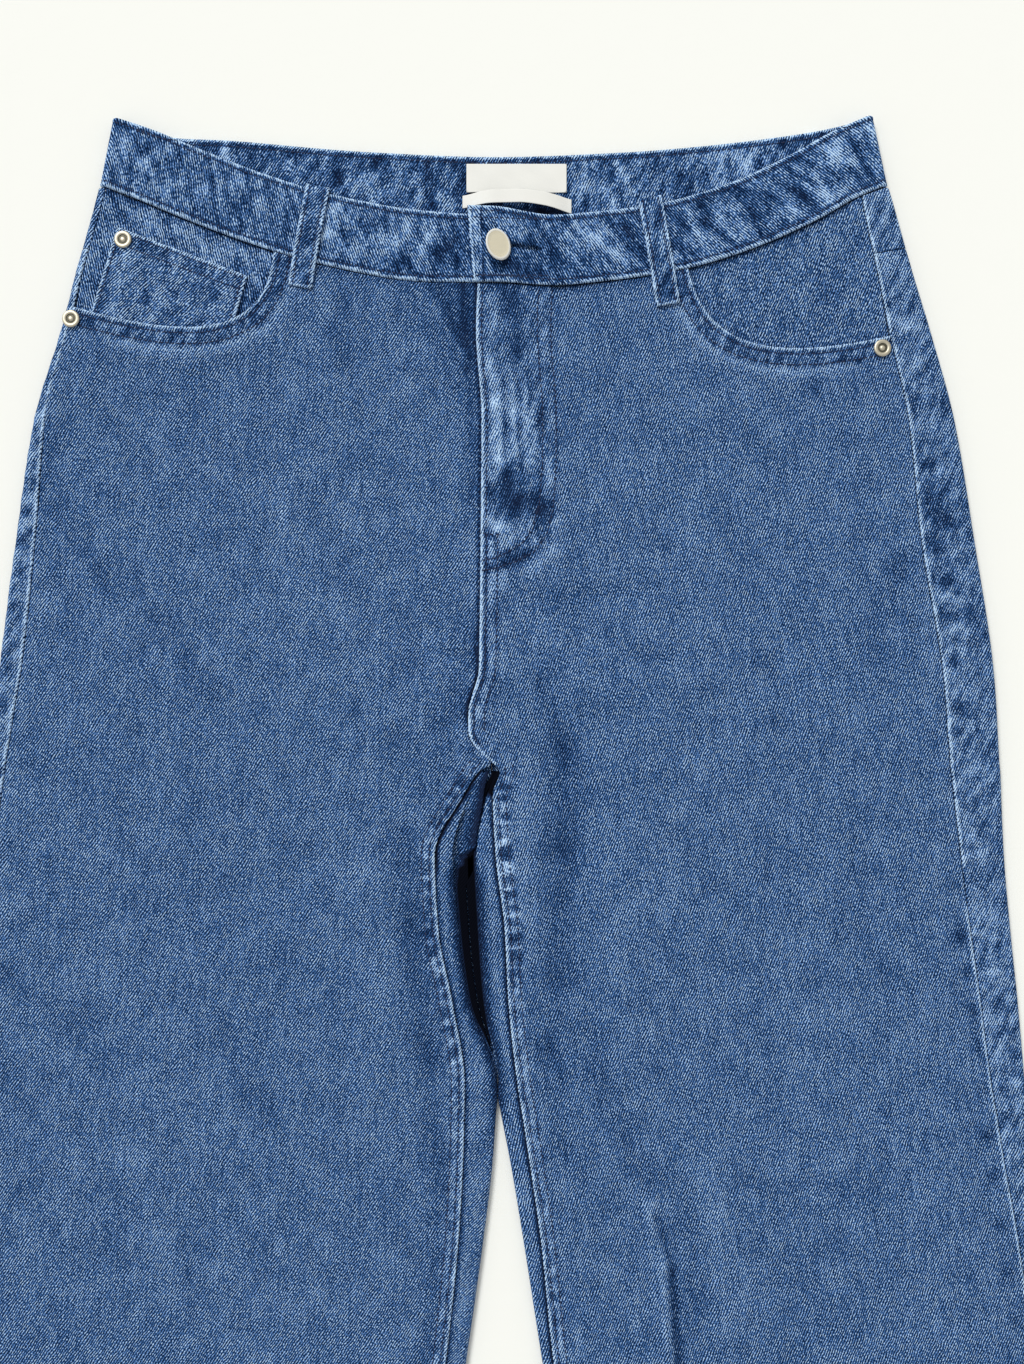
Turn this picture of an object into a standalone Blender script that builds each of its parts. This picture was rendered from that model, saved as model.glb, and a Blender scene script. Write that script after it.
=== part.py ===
"""Straight leg jeans, lying flat on their back with the legs together.

Metres, +Z up.  The floor is z = 0, +Y runs towards the waist and +X towards
the wearer's left.  Sizes below are in millimetres and are scaled when a mesh
is made.  The front panels, pocket facings and the folded-over edges of the
back panels form the top layer; the back panels, yokes and the back of the
waistband form the layer on the floor.
"""
import math
from collections import namedtuple

import bpy

# ---------------------------------------------------------------- sizes, mm
scale = 0.001
seamGap = 0.3          # clearance between pieces that are sewn together
wall = 1.2             # one layer of denim
hemWall = 2.0          # folded hem of a leg
hemDepth = 14.0
pocketHem = 0.7        # extra thickness along a front pocket's opening
pocketHemDepth = 9.5
bandWall = 2.4         # folded waistband
bandLoopWall = 1.5
bandWidth = 38.5

hipTop = 5.6           # middle of the top layer over the hips
legTop = 4.6           # the same over the legs
padLift = 1.5          # how far back pockets and back loops lift the back panels
padWall = 1.2          # a back pocket or back loop
flyRise = 0.9          # how far the fly stands over the front
flyDip = 0.7           # how far the under front passes below it
flyWidth = 41.0
flyLap = 8.0
flyFoot = 236.0        # y where the lap has ended
facingTop = 4.3        # middle of a pocket facing at the pocket's opening
valleyFloor = 2.1      # back panels between the thighs

crotch = 187.0         # y of the crossing of the four leg seams
hookTop = 183.0
slitFoot = 11.0        # y where the two thighs part
hemY = -528.0
centreBack = -12.0
yokeSide = 470.0       # y of the yoke seam at the side fold
yokeCentre = 418.0     # and at the centre back

# One row per level across one leg.  outer and fold are the outline's folds,
# side and centre the seams on top, back the line where both back panels meet.
Level = namedtuple("Level", "y outer side centre fold back")
rightLevels = [
    Level(504, -230.0, -225.5, -21.5, None, -12.0),
    Level(489, -234.0, -229.5, -21.5, None, -12.0),
    Level(459, -242.5, -238.0, -21.5, None, -12.0),
    Level(426, -251.0, -246.0, -22.5, None, -12.0),
    Level(376, -266.0, -259.0, -19.5, None, -12.0),
    Level(310, -276.0, -264.5, -20.0, None, -13.0),
    Level(240, -285.0, -272.0, -21.0, None, -14.0),
    Level(214, -288.0, -276.5, -27.0, None, -15.0),
    Level(204, -289.0, -278.0, -27.0, None, -15.5),
    Level(196, -290.0, -279.5, -23.0, None, -15.0),
    Level(187, -291.0, -281.0, -13.2, None, -14.0),
    Level(183, -291.5, -281.5, -20.5, -18.0, -14.0),
    Level(170, -293.5, -283.5, -29.0, -25.5, -20.5),
    Level(137, -297.5, -287.5, -45.0, -35.0, -28.5),
    Level(96, -301.0, -291.0, -43.0, -32.0, -26.5),
    Level(57, -303.5, -293.0, -35.5, -26.5, -22.0),
    Level(11, -306.0, -295.0, -28.5, -11.0, -10.6),
    Level(-34, -307.0, -296.0, -29.5, -13.5, -10.6),
    Level(-76, -307.5, -296.5, -32.0, -18.5, -10.6),
    Level(-143, -308.0, -297.5, -39.0, -28.0, -10.6),
    Level(-328, -315.5, -306.0, -64.0, -54.5, -10.6),
    Level(-543, -324.5, -316.0, -93.5, -85.0, -10.6),
]
leftLevels = [
    Level(504, 204.5, 188.5, -21.5, None, -12.0),
    Level(489, 209.0, 191.0, -21.5, None, -12.0),
    Level(459, 217.5, 197.5, -21.5, None, -12.0),
    Level(426, 227.5, 204.0, -22.5, None, -12.0),
    Level(376, 241.0, 215.0, -19.5, None, -12.0),
    Level(310, 252.0, 222.0, -20.0, None, -13.0),
    Level(240, 262.5, 233.5, -21.0, None, -14.0),
    Level(214, 264.5, 236.0, -27.0, None, -15.0),
    Level(204, 265.0, 236.5, -27.0, None, -15.5),
    Level(196, 265.5, 237.5, -23.0, None, -15.0),
    Level(187, 266.0, 238.0, -13.2, None, -14.0),
    Level(183, 266.5, 238.5, -9.5, -11.8, -14.0),
    Level(170, 267.0, 240.0, -13.5, -16.5, -20.5),
    Level(137, 268.5, 244.0, -12.0, -22.5, -28.5),
    Level(96, 272.0, 249.5, -7.0, -20.5, -26.5),
    Level(57, 276.0, 255.0, -5.0, -18.0, -22.0),
    Level(11, 280.0, 261.0, 0.0, -10.2, -10.6),
    Level(-34, 283.5, 268.5, 7.0, -3.5, -10.6),
    Level(-76, 288.0, 276.0, 13.0, 3.5, -10.6),
    Level(-143, 293.5, 284.5, 20.0, 14.0, -10.6),
    Level(-328, 307.5, 299.0, 54.0, 45.5, -10.6),
    Level(-543, 325.9, 317.0, 93.0, 84.0, -10.6),
]

# Waistband, one row per section: its upper edge, the lean of the section in
# degrees, its width and the height of its middle.
Band = namedtuple("Band", "x y lean width z")
bandRight = [            # wearer's right front, from the side fold to the underlap's end
    Band(-218.5, 541.2, 11.0, 38.2, 6.3),
    Band(-200.0, 535.0, 18.0, 38.5, 6.3),
    Band(-172.2, 523.6, 22.0, 38.5, 6.3),
    Band(-138.6, 510.7, 17.5, 38.5, 6.3),
    Band(-102.3, 499.6, 13.0, 38.5, 6.3),
    Band(-57.8, 491.4, 6.0, 39.0, 6.0),
    Band(-29.2, 489.2, 1.2, 37.5, 5.4),
    Band(16.0, 487.6, 0.5, 36.4, 5.4),
]
bandBack = [             # from the right fold to the left fold, on the floor
    Band(-218.5, 541.2, 11.0, 38.2, 1.2),
    Band(-189.0, 532.6, 8.0, 38.5, 1.7),
    Band(-155.0, 530.4, 4.0, 38.5, 2.7),
    Band(-83.0, 524.4, 3.0, 38.5, 2.7),
    Band(-12.0, 521.6, 0.0, 38.5, 2.7),
    Band(60.0, 524.2, -3.0, 38.5, 2.7),
    Band(131.0, 530.8, -5.0, 38.5, 2.7),
    Band(165.0, 536.2, -8.0, 38.5, 1.7),
    Band(192.0, 542.4, -12.0, 39.5, 1.2),
]
bandLeft = [             # wearer's left front, from the side fold to the overlap's end
    Band(192.0, 542.4, -12.0, 39.5, 6.3),
    Band(173.0, 534.0, -18.0, 38.7, 6.3),
    Band(148.0, 520.2, -22.5, 38.5, 6.3),
    Band(114.3, 504.9, -18.0, 38.0, 6.3),
    Band(80.0, 495.0, -12.0, 38.0, 6.3),
    Band(45.7, 490.0, -6.0, 38.2, 7.0),
    Band(19.2, 487.6, -1.5, 38.4, 8.1),
    Band(-12.0, 492.4, 0.0, 41.2, 8.1),
    Band(-25.8, 493.0, -1.0, 41.8, 8.1),
]

# Largest folds of the top layer: a line, its half width and its height.
Fold = namedtuple("Fold", "x0 y0 x1 y1 width height")
folds = [
    Fold(73.0, -52.0, 104.0, -260.0, 7.0, 1.2),
    Fold(83.0, -60.0, 116.0, -250.0, 7.0, -1.3),
    Fold(-70.0, 150.0, -200.0, 96.0, 14.0, -0.9),
    Fold(-62.0, 126.0, -170.0, 66.0, 13.0, 0.7),
    Fold(40.0, 150.0, 150.0, 112.0, 14.0, -0.9),
    Fold(45.0, 120.0, 130.0, 84.0, 13.0, 0.7),
    Fold(-226.0, 270.0, -150.0, 205.0, 15.0, -0.8),
    Fold(-236.0, 250.0, -170.0, 176.0, 13.0, 0.6),
    Fold(176.0, 262.0, 96.0, 205.0, 15.0, -0.8),
    Fold(-190.0, -300.0, -226.0, -420.0, 16.0, -1.0),
    Fold(-150.0, -330.0, -190.0, -460.0, 15.0, 0.8),
    Fold(190.0, -330.0, 176.0, -450.0, 16.0, -1.0),
    Fold(236.0, -300.0, 226.0, -430.0, 15.0, 0.8),
    Fold(-120.0, 352.0, -60.0, 270.0, 17.0, 0.7),
    Fold(60.0, 352.0, 120.0, 280.0, 17.0, 0.7),
]

# Pocket openings: control points of one cubic curve from waistband to side seam.
rightOpening = [(-133.5, 469.0), (-137.0, 430.0), (-160.5, 413.5), (-242.9, 437.5)]
leftOpening = [(94.0, 458.5), (101.5, 428.0), (120.0, 402.5), (204.6, 422.0)]
facingHidden = 14.0    # how far a facing runs on under the front

coinPocket = [(-219.5, 482.0), (-148.0, 455.0), (-157.5, 422.5), (-235.0, 431.0)]
coinRise = 1.5

# Belt loops on the front: foot and head of the middle line, and the foot's rise over the front.
frontLoops = {
    "belt_loop_front_right": ((-119.0, 448.4), (-109.0, 502.3), 0.3),
    "belt_loop_front_left": ((82.8, 438.4), (72.7, 496.2), 1.0),
}
loopWidth = 13.2
backLoops = {"belt_loop_back_right": -144.0, "belt_loop_back_centre": -12.0, "belt_loop_back_left": 119.0}

rivets = {"rivet_coin": (-216.0, 474.6, 6.7), "rivet_right": (-243.6, 430.4, 9.0),
          "rivet_left": (200.0, 414.8, 7.6)}
rivetRadius = 4.75

buttonCentre = (-8.8, 471.8)
buttonRadius = 8.6
buttonTilt = math.radians(26.0)
buttonholeEnd = 13.0
labelBox = (-27.8, 27.3, 501.2, 517.0)
labelWall = 0.5

backPocketCentres = {"back_pocket_right": -133.0, "back_pocket_left": 109.0}

# mesh counts
stripCells = 2
curlCells = 5
floorShares = [0.14, 0.215, 0.34, 0.47, 0.60, 0.73, 0.86, 1.0]
yokeShares = [0.05, 0.10, 0.16, 0.22, 0.30, 0.40, 0.50, 0.60, 0.70, 0.80, 0.90, 1.0]
frontCells = 7

denim = (0.070, 0.135, 0.275)
denimLight = (0.085, 0.150, 0.290)
metalColour = (0.72, 0.69, 0.60)
labelColour = (0.86, 0.86, 0.83)


# ------------------------------------------------------------- small helpers
def lerp(a, b, t):
    return a + (b - a) * t


def ease(t):
    """Smooth step from 0 to 1."""
    t = min(max(t, 0.0), 1.0)
    return t * t * (3.0 - 2.0 * t)


def follow(knots, values):
    """A smooth curve through (knot, value) pairs that never overshoots them."""
    pairs = sorted(zip(knots, values))
    ks = [k for k, _ in pairs]
    vs = [v for _, v in pairs]
    chords = [(vs[i + 1] - vs[i]) / (ks[i + 1] - ks[i]) for i in range(len(ks) - 1)]
    slopes = [chords[0]]
    for before, after in zip(chords, chords[1:]):
        together = before * after > 0.0
        slopes.append(2.0 * before * after / (before + after) if together else 0.0)
    slopes.append(chords[-1])

    def value(k):
        k = min(max(k, ks[0]), ks[-1])
        i = 0
        while i < len(ks) - 2 and k > ks[i + 1]:
            i += 1
        step = ks[i + 1] - ks[i]
        t = (k - ks[i]) / step
        fromStart = (1 + 2 * t) * (1 - t) ** 2 * vs[i] + t * (1 - t) ** 2 * step * slopes[i]
        fromEnd = t * t * (3 - 2 * t) * vs[i + 1] + t * t * (t - 1) * step * slopes[i + 1]
        return fromStart + fromEnd

    return value


def bezier(points, t):
    """A point of a cubic curve."""
    a, b, c, d = points
    s = 1.0 - t
    weights = (s ** 3, 3 * s * s * t, 3 * s * t * t, t ** 3)
    return tuple(sum(w * p[i] for w, p in zip(weights, (a, b, c, d))) for i in range(2))


# ------------------------------------------------------------- levels of cloth
def foldHeight(x, y):
    """Sum of the large folds of the top layer at a point."""
    height = 0.0
    for f in folds:
        dx = f.x1 - f.x0
        dy = f.y1 - f.y0
        length = math.hypot(dx, dy)
        along = ((x - f.x0) * dx + (y - f.y0) * dy) / length / length
        across = ((x - f.x0) * dy - (y - f.y0) * dx) / length
        if -0.2 < along < 1.2 and abs(across) < 3 * f.width:
            taper = ease((along + 0.2) / 0.4) * ease((1.2 - along) / 0.4)
            height += f.height * taper * math.exp(-(across / f.width) ** 2)
    return height


def topLevel(x, y):
    """Middle of the top layer."""
    return lerp(legTop, hipTop, ease((y - 150.0) / 90.0)) + foldHeight(x, y)


def floorLift(x, y):
    """How far the layer on the floor stands on the back pockets and loops."""
    across = ease((x + 236.0) / 14.0) * ease((212.0 - x) / 14.0)
    return padLift * across * ease((y - 222.0) / 22.0)


def floorLevel(x, y):
    """Middle of the layer on the floor."""
    return wall / 2 + floorLift(x, y)


class Leg:
    """Seams and folds of one side of the jeans as functions of y."""

    def __init__(self, levels, outward, lean):
        self.outward = outward
        self.lean = lean
        knots = [row.y for row in levels]
        self.outer = follow(knots, [row.outer for row in levels])
        self.side = follow(knots, [row.side for row in levels])
        self.centre = follow(knots, [row.centre for row in levels])
        self.back = follow(knots, [row.back for row in levels])
        lower = [row for row in levels if row.fold is not None]
        self.fold = follow([row.y for row in lower], [row.fold for row in lower])

    def place(self, line, y):
        """Where a seam or fold crosses the section at y, which turns square to the leg."""
        turn = self.lean * ease((60.0 - y) / 240.0)
        middle = (self.outer(y) + self.fold(min(y, slitFoot))) / 2
        x = line(y)
        crossing = y + turn * (x - middle)
        return line(crossing), crossing


rightLeg = Leg(rightLevels, -1, -0.091)
leftLeg = Leg(leftLevels, 1, 0.124)


def bandSections(rows, count):
    """Waistband sections read from smooth curves through its table."""
    steps = range(len(rows))
    curves = [follow(steps, [row[i] for row in rows]) for i in range(5)]
    return [Band(*[c(k * (len(rows) - 1) / count) for c in curves]) for k in range(count + 1)]


def bandFoot(section):
    """The seam point of a waistband section."""
    lean = math.radians(section.lean)
    return section.x - section.width * math.sin(lean), section.y - section.width * math.cos(lean)


def seamCurve(sections):
    """Height of the waistband's seam as a function of x."""
    feet = sorted(bandFoot(section) for section in sections)
    xs = [p[0] for p in feet]

    def value(x):
        x = min(max(x, xs[0]), xs[-1])
        i = 0
        while i < len(xs) - 2 and x > xs[i + 1]:
            i += 1
        t = (x - xs[i]) / (xs[i + 1] - xs[i])
        return lerp(feet[i][1], feet[i + 1][1], t) - seamGap

    return value


rightSections = bandSections(bandRight, 16)
backSections = bandSections(bandBack, 16)
leftSections = bandSections(bandLeft, 24)
seamRight = seamCurve(rightSections)
seamBack = seamCurve(backSections)
seamLeft = seamCurve(leftSections)


# ------------------------------------------------------------- mesh building
def plainMaterial(name, colour, roughness, metallic):
    """A Principled material of one colour."""
    material = bpy.data.materials.new(name)
    material.use_nodes = True
    shader = material.node_tree.nodes["Principled BSDF"]
    shader.inputs["Base Color"].default_value = (*colour, 1.0)
    shader.inputs["Roughness"].default_value = roughness
    shader.inputs["Metallic"].default_value = metallic
    material.diffuse_color = (*colour, 1.0)
    return material


def addObject(name, points, faces, colour, roughness=0.9, metallic=0.0):
    """A named object from points in millimetres."""
    mesh = bpy.data.meshes.new(name)
    mesh.from_pydata([tuple(c * scale for c in p) for p in points], [], faces)
    mesh.update()
    mesh.materials.append(plainMaterial(name + "_finish", colour, roughness, metallic))
    piece = bpy.data.objects.new(name, mesh)
    bpy.context.collection.objects.link(piece)
    return piece


def addWall(name, outer, inner, cells, colour):
    """A closed wall between two sheets of points that share their cells."""
    used = sorted({i for cell in cells for i in cell})
    index = {old: new for new, old in enumerate(used)}
    count = len(used)
    cells = [tuple(index[i] for i in cell) for cell in cells]
    faces = list(cells)
    faces += [tuple(i + count for i in reversed(cell)) for cell in cells]
    edges = {(cell[k], cell[(k + 1) % len(cell)]) for cell in cells for k in range(len(cell))}
    for a, b in sorted(edges):
        if (b, a) not in edges:
            faces.append((b, a, a + count, b + count))
    points = [outer[i] for i in used] + [inner[i] for i in used]
    return addObject(name, points, faces, colour)


def gridCells(rows, columns, flip=False):
    """Four-sided cells of a grid whose points run row by row."""
    cells = []
    for r in range(rows - 1):
        for c in range(columns - 1):
            a = r * columns + c
            cell = (a, a + 1, a + columns + 1, a + columns)
            cells.append(cell[::-1] if flip else cell)
    return cells


def normals(profile, outwardTurn):
    """Mitred normals of a section's line in the x-z plane."""
    turned = []
    for a, b in zip(profile, profile[1:]):
        dx = b[0] - a[0]
        dz = b[2] - a[2]
        length = math.hypot(dx, dz)
        turned.append((-dz / length * outwardTurn, dx / length * outwardTurn))
    result = []
    for i in range(len(profile)):
        before = turned[max(i - 1, 0)]
        after = turned[min(i, len(turned) - 1)]
        nx = before[0] + after[0]
        nz = before[1] + after[1]
        square = nx * nx + nz * nz
        result.append((2 * nx / square, 2 * nz / square))
    return result


def offsetProfile(profile, outwardTurn, outwards, inwards):
    """Outer and inner points of a wall about a section's line."""
    turned = normals(profile, outwardTurn)
    outer = [(p[0] + n[0] * outwards, p[1], p[2] + n[1] * outwards) for p, n in zip(profile, turned)]
    inner = [(p[0] - n[0] * inwards, p[1], p[2] - n[1] * inwards) for p, n in zip(profile, turned)]
    return outer, inner


# ------------------------------------------------------------- back panels
def outerRun(leg, y, top, floor):
    """From the side seam over the outer fold to the floor: strip and curl."""
    o = leg.outward
    side = top(leg.side)
    fold = top(leg.outer)
    down = floor(leg.outer)
    high = topLevel(fold[0] - 3 * o, fold[1])
    low = floorLevel(down[0] - 3 * o, down[1])
    radius = (high - low) / 2
    hub = fold[0] - o * (radius + wall / 2)
    start = side[0] + o * seamGap / 2
    run = []
    for k in range(stripCells):
        t = k / stripCells
        x = lerp(start, hub, t)
        across = lerp(side[1], fold[1], t)
        run.append((x, across, lerp(topLevel(x, across), high, t)))
    for k in range(curlCells + 1):
        angle = math.pi * (0.5 - k / curlCells)
        across = lerp(fold[1], down[1], k / curlCells)
        run.append((hub + o * radius * math.cos(angle), across, (high + low) / 2 + radius * math.sin(angle)))
    return run


def floorRun(start, end, shares):
    """Along the floor from one point to another, without the first."""
    run = []
    for t in shares:
        x = lerp(start[0], end[0], t)
        y = lerp(start[1], end[1], t)
        run.append((x, y, floorLevel(x, y)))
    return run


def innerRun(leg, y):
    """From the floor round the inner fold up to the inseam."""
    o = leg.outward
    fold = leg.place(leg.fold, y)
    inseam = leg.place(leg.centre, y)
    high = topLevel(fold[0] + 3 * o, fold[1])
    low = floorLevel(fold[0], fold[1])
    radius = (high - low) / 2
    hub = fold[0] + o * (radius + wall / 2)
    end = inseam[0] - o * seamGap / 2
    run = []
    for k in range(curlCells + 1):
        angle = math.pi * (k / curlCells - 0.5)
        run.append((hub - o * radius * math.cos(angle), fold[1], (high + low) / 2 + radius * math.sin(angle)))
    for k in range(1, stripCells + 1):
        t = k / stripCells
        x = lerp(hub, end, t)
        across = lerp(fold[1], inseam[1], t)
        run.append((x, across, lerp(high, topLevel(x, across), t)))
    return run


def hookRun(leg, y):
    """From the valley between the thighs up the inner fold to the inseam."""
    o = leg.outward
    rise = ease((y - 96.0) / (hookTop - 96.0))
    high = topLevel(leg.fold(y) + 3 * o, y)
    low = lerp(valleyFloor, high - 0.8, rise)
    end = leg.centre(y) - o * seamGap / 2
    foot = leg.fold(y) + o * wall / 2
    reach = min(3.0, abs(end - foot) * 0.7)
    run = [(leg.back(y) + o * seamGap / 2, y, low)]
    for k in range(curlCells):
        angle = math.pi / 2 * k / (curlCells - 1)
        run.append((foot + o * reach * (1 - math.cos(angle)), y, low + (high - low) * math.sin(angle)))
    for k in range(1, stripCells + 1):
        x = lerp(foot + o * reach, end, k / stripCells)
        run.append((x, y, lerp(high, topLevel(x, y), k / stripCells)))
    return run


def yokeLine(leg, x, onTop):
    """The yoke's lower seam: nearly level on top, a shallow V on the floor."""
    fold = leg.outer(yokeSide)
    if onTop:
        return yokeSide - 0.15 * abs(fold - x)
    return lerp(yokeSide, yokeCentre, min(abs(x - fold) / abs(centreBack - fold), 1.0))


hipShares = [0.045, 0.11, 0.19, 0.28, 0.38, 0.50, 0.62, 0.74]   # from the crotch to the yoke
thighRows = [11, 22, 38, 57, 76, 96, 116, 137, 155, 170, 183]
legRows = [-528.0, -514.5, -513.0, -470, -410, -350, -290, -230, -180, -143, -110, -76, -50, -26]


def backPanel(name, leg, opening):
    """One back panel: up from the hem, round both folds and on to the yoke."""
    o = leg.outward
    mainWidth = stripCells + curlCells + 1 + len(floorShares)
    hookWidth = curlCells + 1 + stripCells
    outer = []
    inner = []
    cells = []

    def addRow(profile, thick):
        wallOut, wallIn = offsetProfile(profile, o, wall / 2, thick - wall / 2)
        outer.extend(wallOut)
        inner.extend(wallIn)

    def onLeg(y):
        return lambda line: leg.place(line, y)

    wholeWidth = mainWidth + hookWidth - 1
    for y in legRows + [slitFoot]:
        run = outerRun(leg, y, onLeg(y), onLeg(y))
        closing = innerRun(leg, y)
        run += floorRun(run[-1], closing[0], floorShares)[:-1] + closing
        addRow(run, hemWall if y < hemY + hemDepth else wall)
    lower = len(legRows) + 1
    cells += gridCells(lower, wholeWidth)
    slitRow = (lower - 1) * wholeWidth

    # The floor part goes on to the yoke, the hook part to the crotch.
    mainRow = slitRow
    pocketEnd = (opening[3][1] - hookTop) / (yokeSide - hookTop)
    mainRows = [(y, None) for y in thighRows[1:]] + [(None, f) for f in hipShares + [pocketEnd, 1.0]]
    for y, share in mainRows:
        if share is None:
            top = floor = onLeg(y)
            end = lerp(leg.back(slitFoot), leg.back(crotch), (y - slitFoot) / (crotch - slitFoot)), y
        else:
            def blend(line, onTop, share=share):
                target = yokeLine(leg, line(yokeSide), onTop) - seamGap / 2
                height = lerp(hookTop, target, share)
                return line(height), height
            top = lambda line: blend(line, True)
            floor = lambda line: blend(line, False)
            end = floor(leg.back)
        run = outerRun(leg, y, top, floor)
        run += floorRun(run[-1], (end[0] + o * seamGap / 2, end[1]), floorShares)
        if share is not None:
            run = [(x, raisedHeight(leg, x, height, z, share), z) for x, height, z in run]
        row = len(outer)
        addRow(run, wall)
        for c in range(mainWidth - 1):
            cells.append((mainRow + c, mainRow + c + 1, row + c + 1, row + c))
        mainRow = row
    hookRow = slitRow + mainWidth - 1
    for y in thighRows[1:]:
        row = len(outer)
        addRow(hookRun(leg, y), wall)
        for c in range(hookWidth - 1):
            cells.append((hookRow + c, hookRow + c + 1, row + c + 1, row + c))
        hookRow = row
    if o < 0:
        cells = [cell[::-1] for cell in cells]
    return addWall(name, outer, inner, cells, denim)


def raisedHeight(leg, x, height, z, share):
    """Bends a hip row of a back panel along the yoke seam on the floor."""
    if z > (hipTop + wall) / 2:
        return height
    return lerp(hookTop, yokeLine(leg, x, False) - seamGap / 2, share)


def yoke(name, leg, seamTop):
    """One yoke: the short strip on top, the side fold and the back to the centre."""
    o = leg.outward
    outer = []
    inner = []
    rows = 5
    for r in range(rows):
        share = r / (rows - 1)

        def edge(line, seam, onTop):
            height = yokeSide
            for _ in range(4):
                x = line(height)
                height = lerp(yokeLine(leg, x, onTop) + seamGap / 2, seam(x), share)
            return x, height

        top = lambda line: edge(line, seamTop, True)
        floor = lambda line: edge(line, seamBack, False)
        run = outerRun(leg, None, top, floor)
        end = floor(leg.back)
        run += floorRun(run[-1], (end[0] + o * seamGap / 2, end[1]), yokeShares)
        bent = []
        for x, height, z in run:
            if z < (hipTop + wall) / 2:
                height = lerp(yokeLine(leg, x, False) + seamGap / 2, seamBack(x), share)
            bent.append((x, height, z))
        wallOut, wallIn = offsetProfile(bent, o, wall / 2, wall / 2)
        outer += wallOut
        inner += wallIn
    return addWall(name, outer, inner, gridCells(rows, len(outer) // rows, flip=o < 0), denim)


# ------------------------------------------------------------- front panels
# Sections of a front over the hips: where each leaves the fly and meets the side seam.
pocketRows = [451, 436, 420, 402, 380, 352]
hipPairs = [(334, 395), (312, 361), (290, 326.5), (266, 292), (246, 263.5), (229, 237.5), (214, 214.6),
            (204, 204), (196, 196), (187, 187)]
lowRows = [183, 170, 155, 137, 116, 96, 76, 57, 34, 11, -12, -34, -55, -76, -110, -143, -180,
           -230, -290, -350, -410, -470, -513, -514.5, -528]
edgeColumns = [0.0, 1.0, pocketHemDepth, pocketHemDepth + 1.5, 17.0]
flyColumns = [0.0, 11.0, 14.5, flyWidth - 1.5, flyWidth]


def openingFrame(leg, opening, t):
    """A point of a pocket's opening and the direction into the front there."""
    x, y = bezier(opening, t)
    if t > 0.99:
        return (x, y), (-leg.outward * 0.75, -0.66)
    ahead = bezier(opening, t + 0.01)
    length = math.hypot(ahead[0] - x, ahead[1] - y)
    return (x, y), ((ahead[1] - y) / length * leg.outward, -(ahead[0] - x) / length * leg.outward)


def frontSections(leg, opening, lap):
    """Start, outer end and inward direction of every section of a front."""
    o = leg.outward
    sections = []

    def flyPoint(y):
        lapped = ease((y - flyFoot) / 24.0)
        x, height = leg.place(leg.centre, y)
        return x + lap * lapped + (1 - lapped) * o * seamGap / 2, height

    for r, y in enumerate(pocketRows):
        out, inward = openingFrame(leg, opening, r / (len(pocketRows) - 1))
        sections.append((flyPoint(y), out, inward))
    for inY, outY in hipPairs + [(y, y) for y in lowRows]:
        x, height = leg.place(leg.side, outY)
        sections.append((flyPoint(inY), (x - o * seamGap / 2, height), (-o, 0.0)))
    return sections


def frontPanel(name, leg, opening, seamTop, lap):
    """One front: fly and inseam on one side, pocket opening and side seam on the other."""
    o = leg.outward
    sections = frontSections(leg, opening, lap)
    outer = []
    inner = []
    for r, (start, out, inward) in enumerate(sections):
        hem = [(out[0] + inward[0] * d, out[1] + inward[1] * d, d) for d in reversed(edgeColumns)]
        length = math.hypot(hem[0][0] - start[0], hem[0][1] - start[1])
        shares = [d / length for d in flyColumns]
        shares += [lerp(shares[-1], 1.0, k / frontCells) for k in range(1, frontCells)]
        row = [(lerp(start[0], hem[0][0], u), lerp(start[1], hem[0][1], u), edgeColumns[-1] + (1 - u) * length)
               for u in shares] + hem
        nearTop = max(0.0, 1.0 - r / 5) ** 2
        for x, y, fromSide in row:
            share = (x - start[0]) / (out[0] - start[0])
            straight = lerp(pocketRows[0], opening[0][1], share)
            y = y + nearTop * (seamTop(x) - straight) * (1 - share) if r else seamTop(x)
            fromFly = math.hypot(x - start[0], y - start[1])
            z = topLevel(x, y)
            thick = wall
            beside = ease((y - 366.0) / 22.0)
            z += 0.3 * ease((26.0 - fromSide) / 8.0) * beside
            if o < 0:
                z += coinRise * ease((-138.0 - x) / 12.0) * beside * ease((30.0 - fromSide) / 12.0)
                z -= flyDip * ease((14.0 - fromFly) / 3.0) * ease((y - 212.0) / 14.0)
            else:
                wide = ease((flyWidth - fromFly) / 1.5) * ease((y - 296.0) / 12.0)
                narrow = ease((14.5 - fromFly) / 3.5) * ease((y - 212.0) / 14.0)
                z += flyRise * max(wide, narrow)
            high = z + wall / 2
            if r < len(pocketRows) and fromSide < pocketHemDepth + 0.01:
                high += pocketHem
            if r >= len(sections) - 2:
                thick = hemWall
            outer.append((x, y, high))
            inner.append((x, y, z + wall / 2 - thick))
    columns = len(outer) // len(sections)
    return addWall(name, outer, inner, gridCells(len(sections), columns, flip=o > 0), denim)


# ------------------------------------------------------------- pockets
def facingLevel(leg, opening, x, y):
    """Middle of a pocket facing, which rises to meet the side seam above the opening."""
    away = ease(abs(leg.side(y) - x) / 12.0)
    below = ease((opening[3][1] + 16.0 - y) / 14.0)
    return lerp(hipTop, facingTop, max(away, below))


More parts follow.
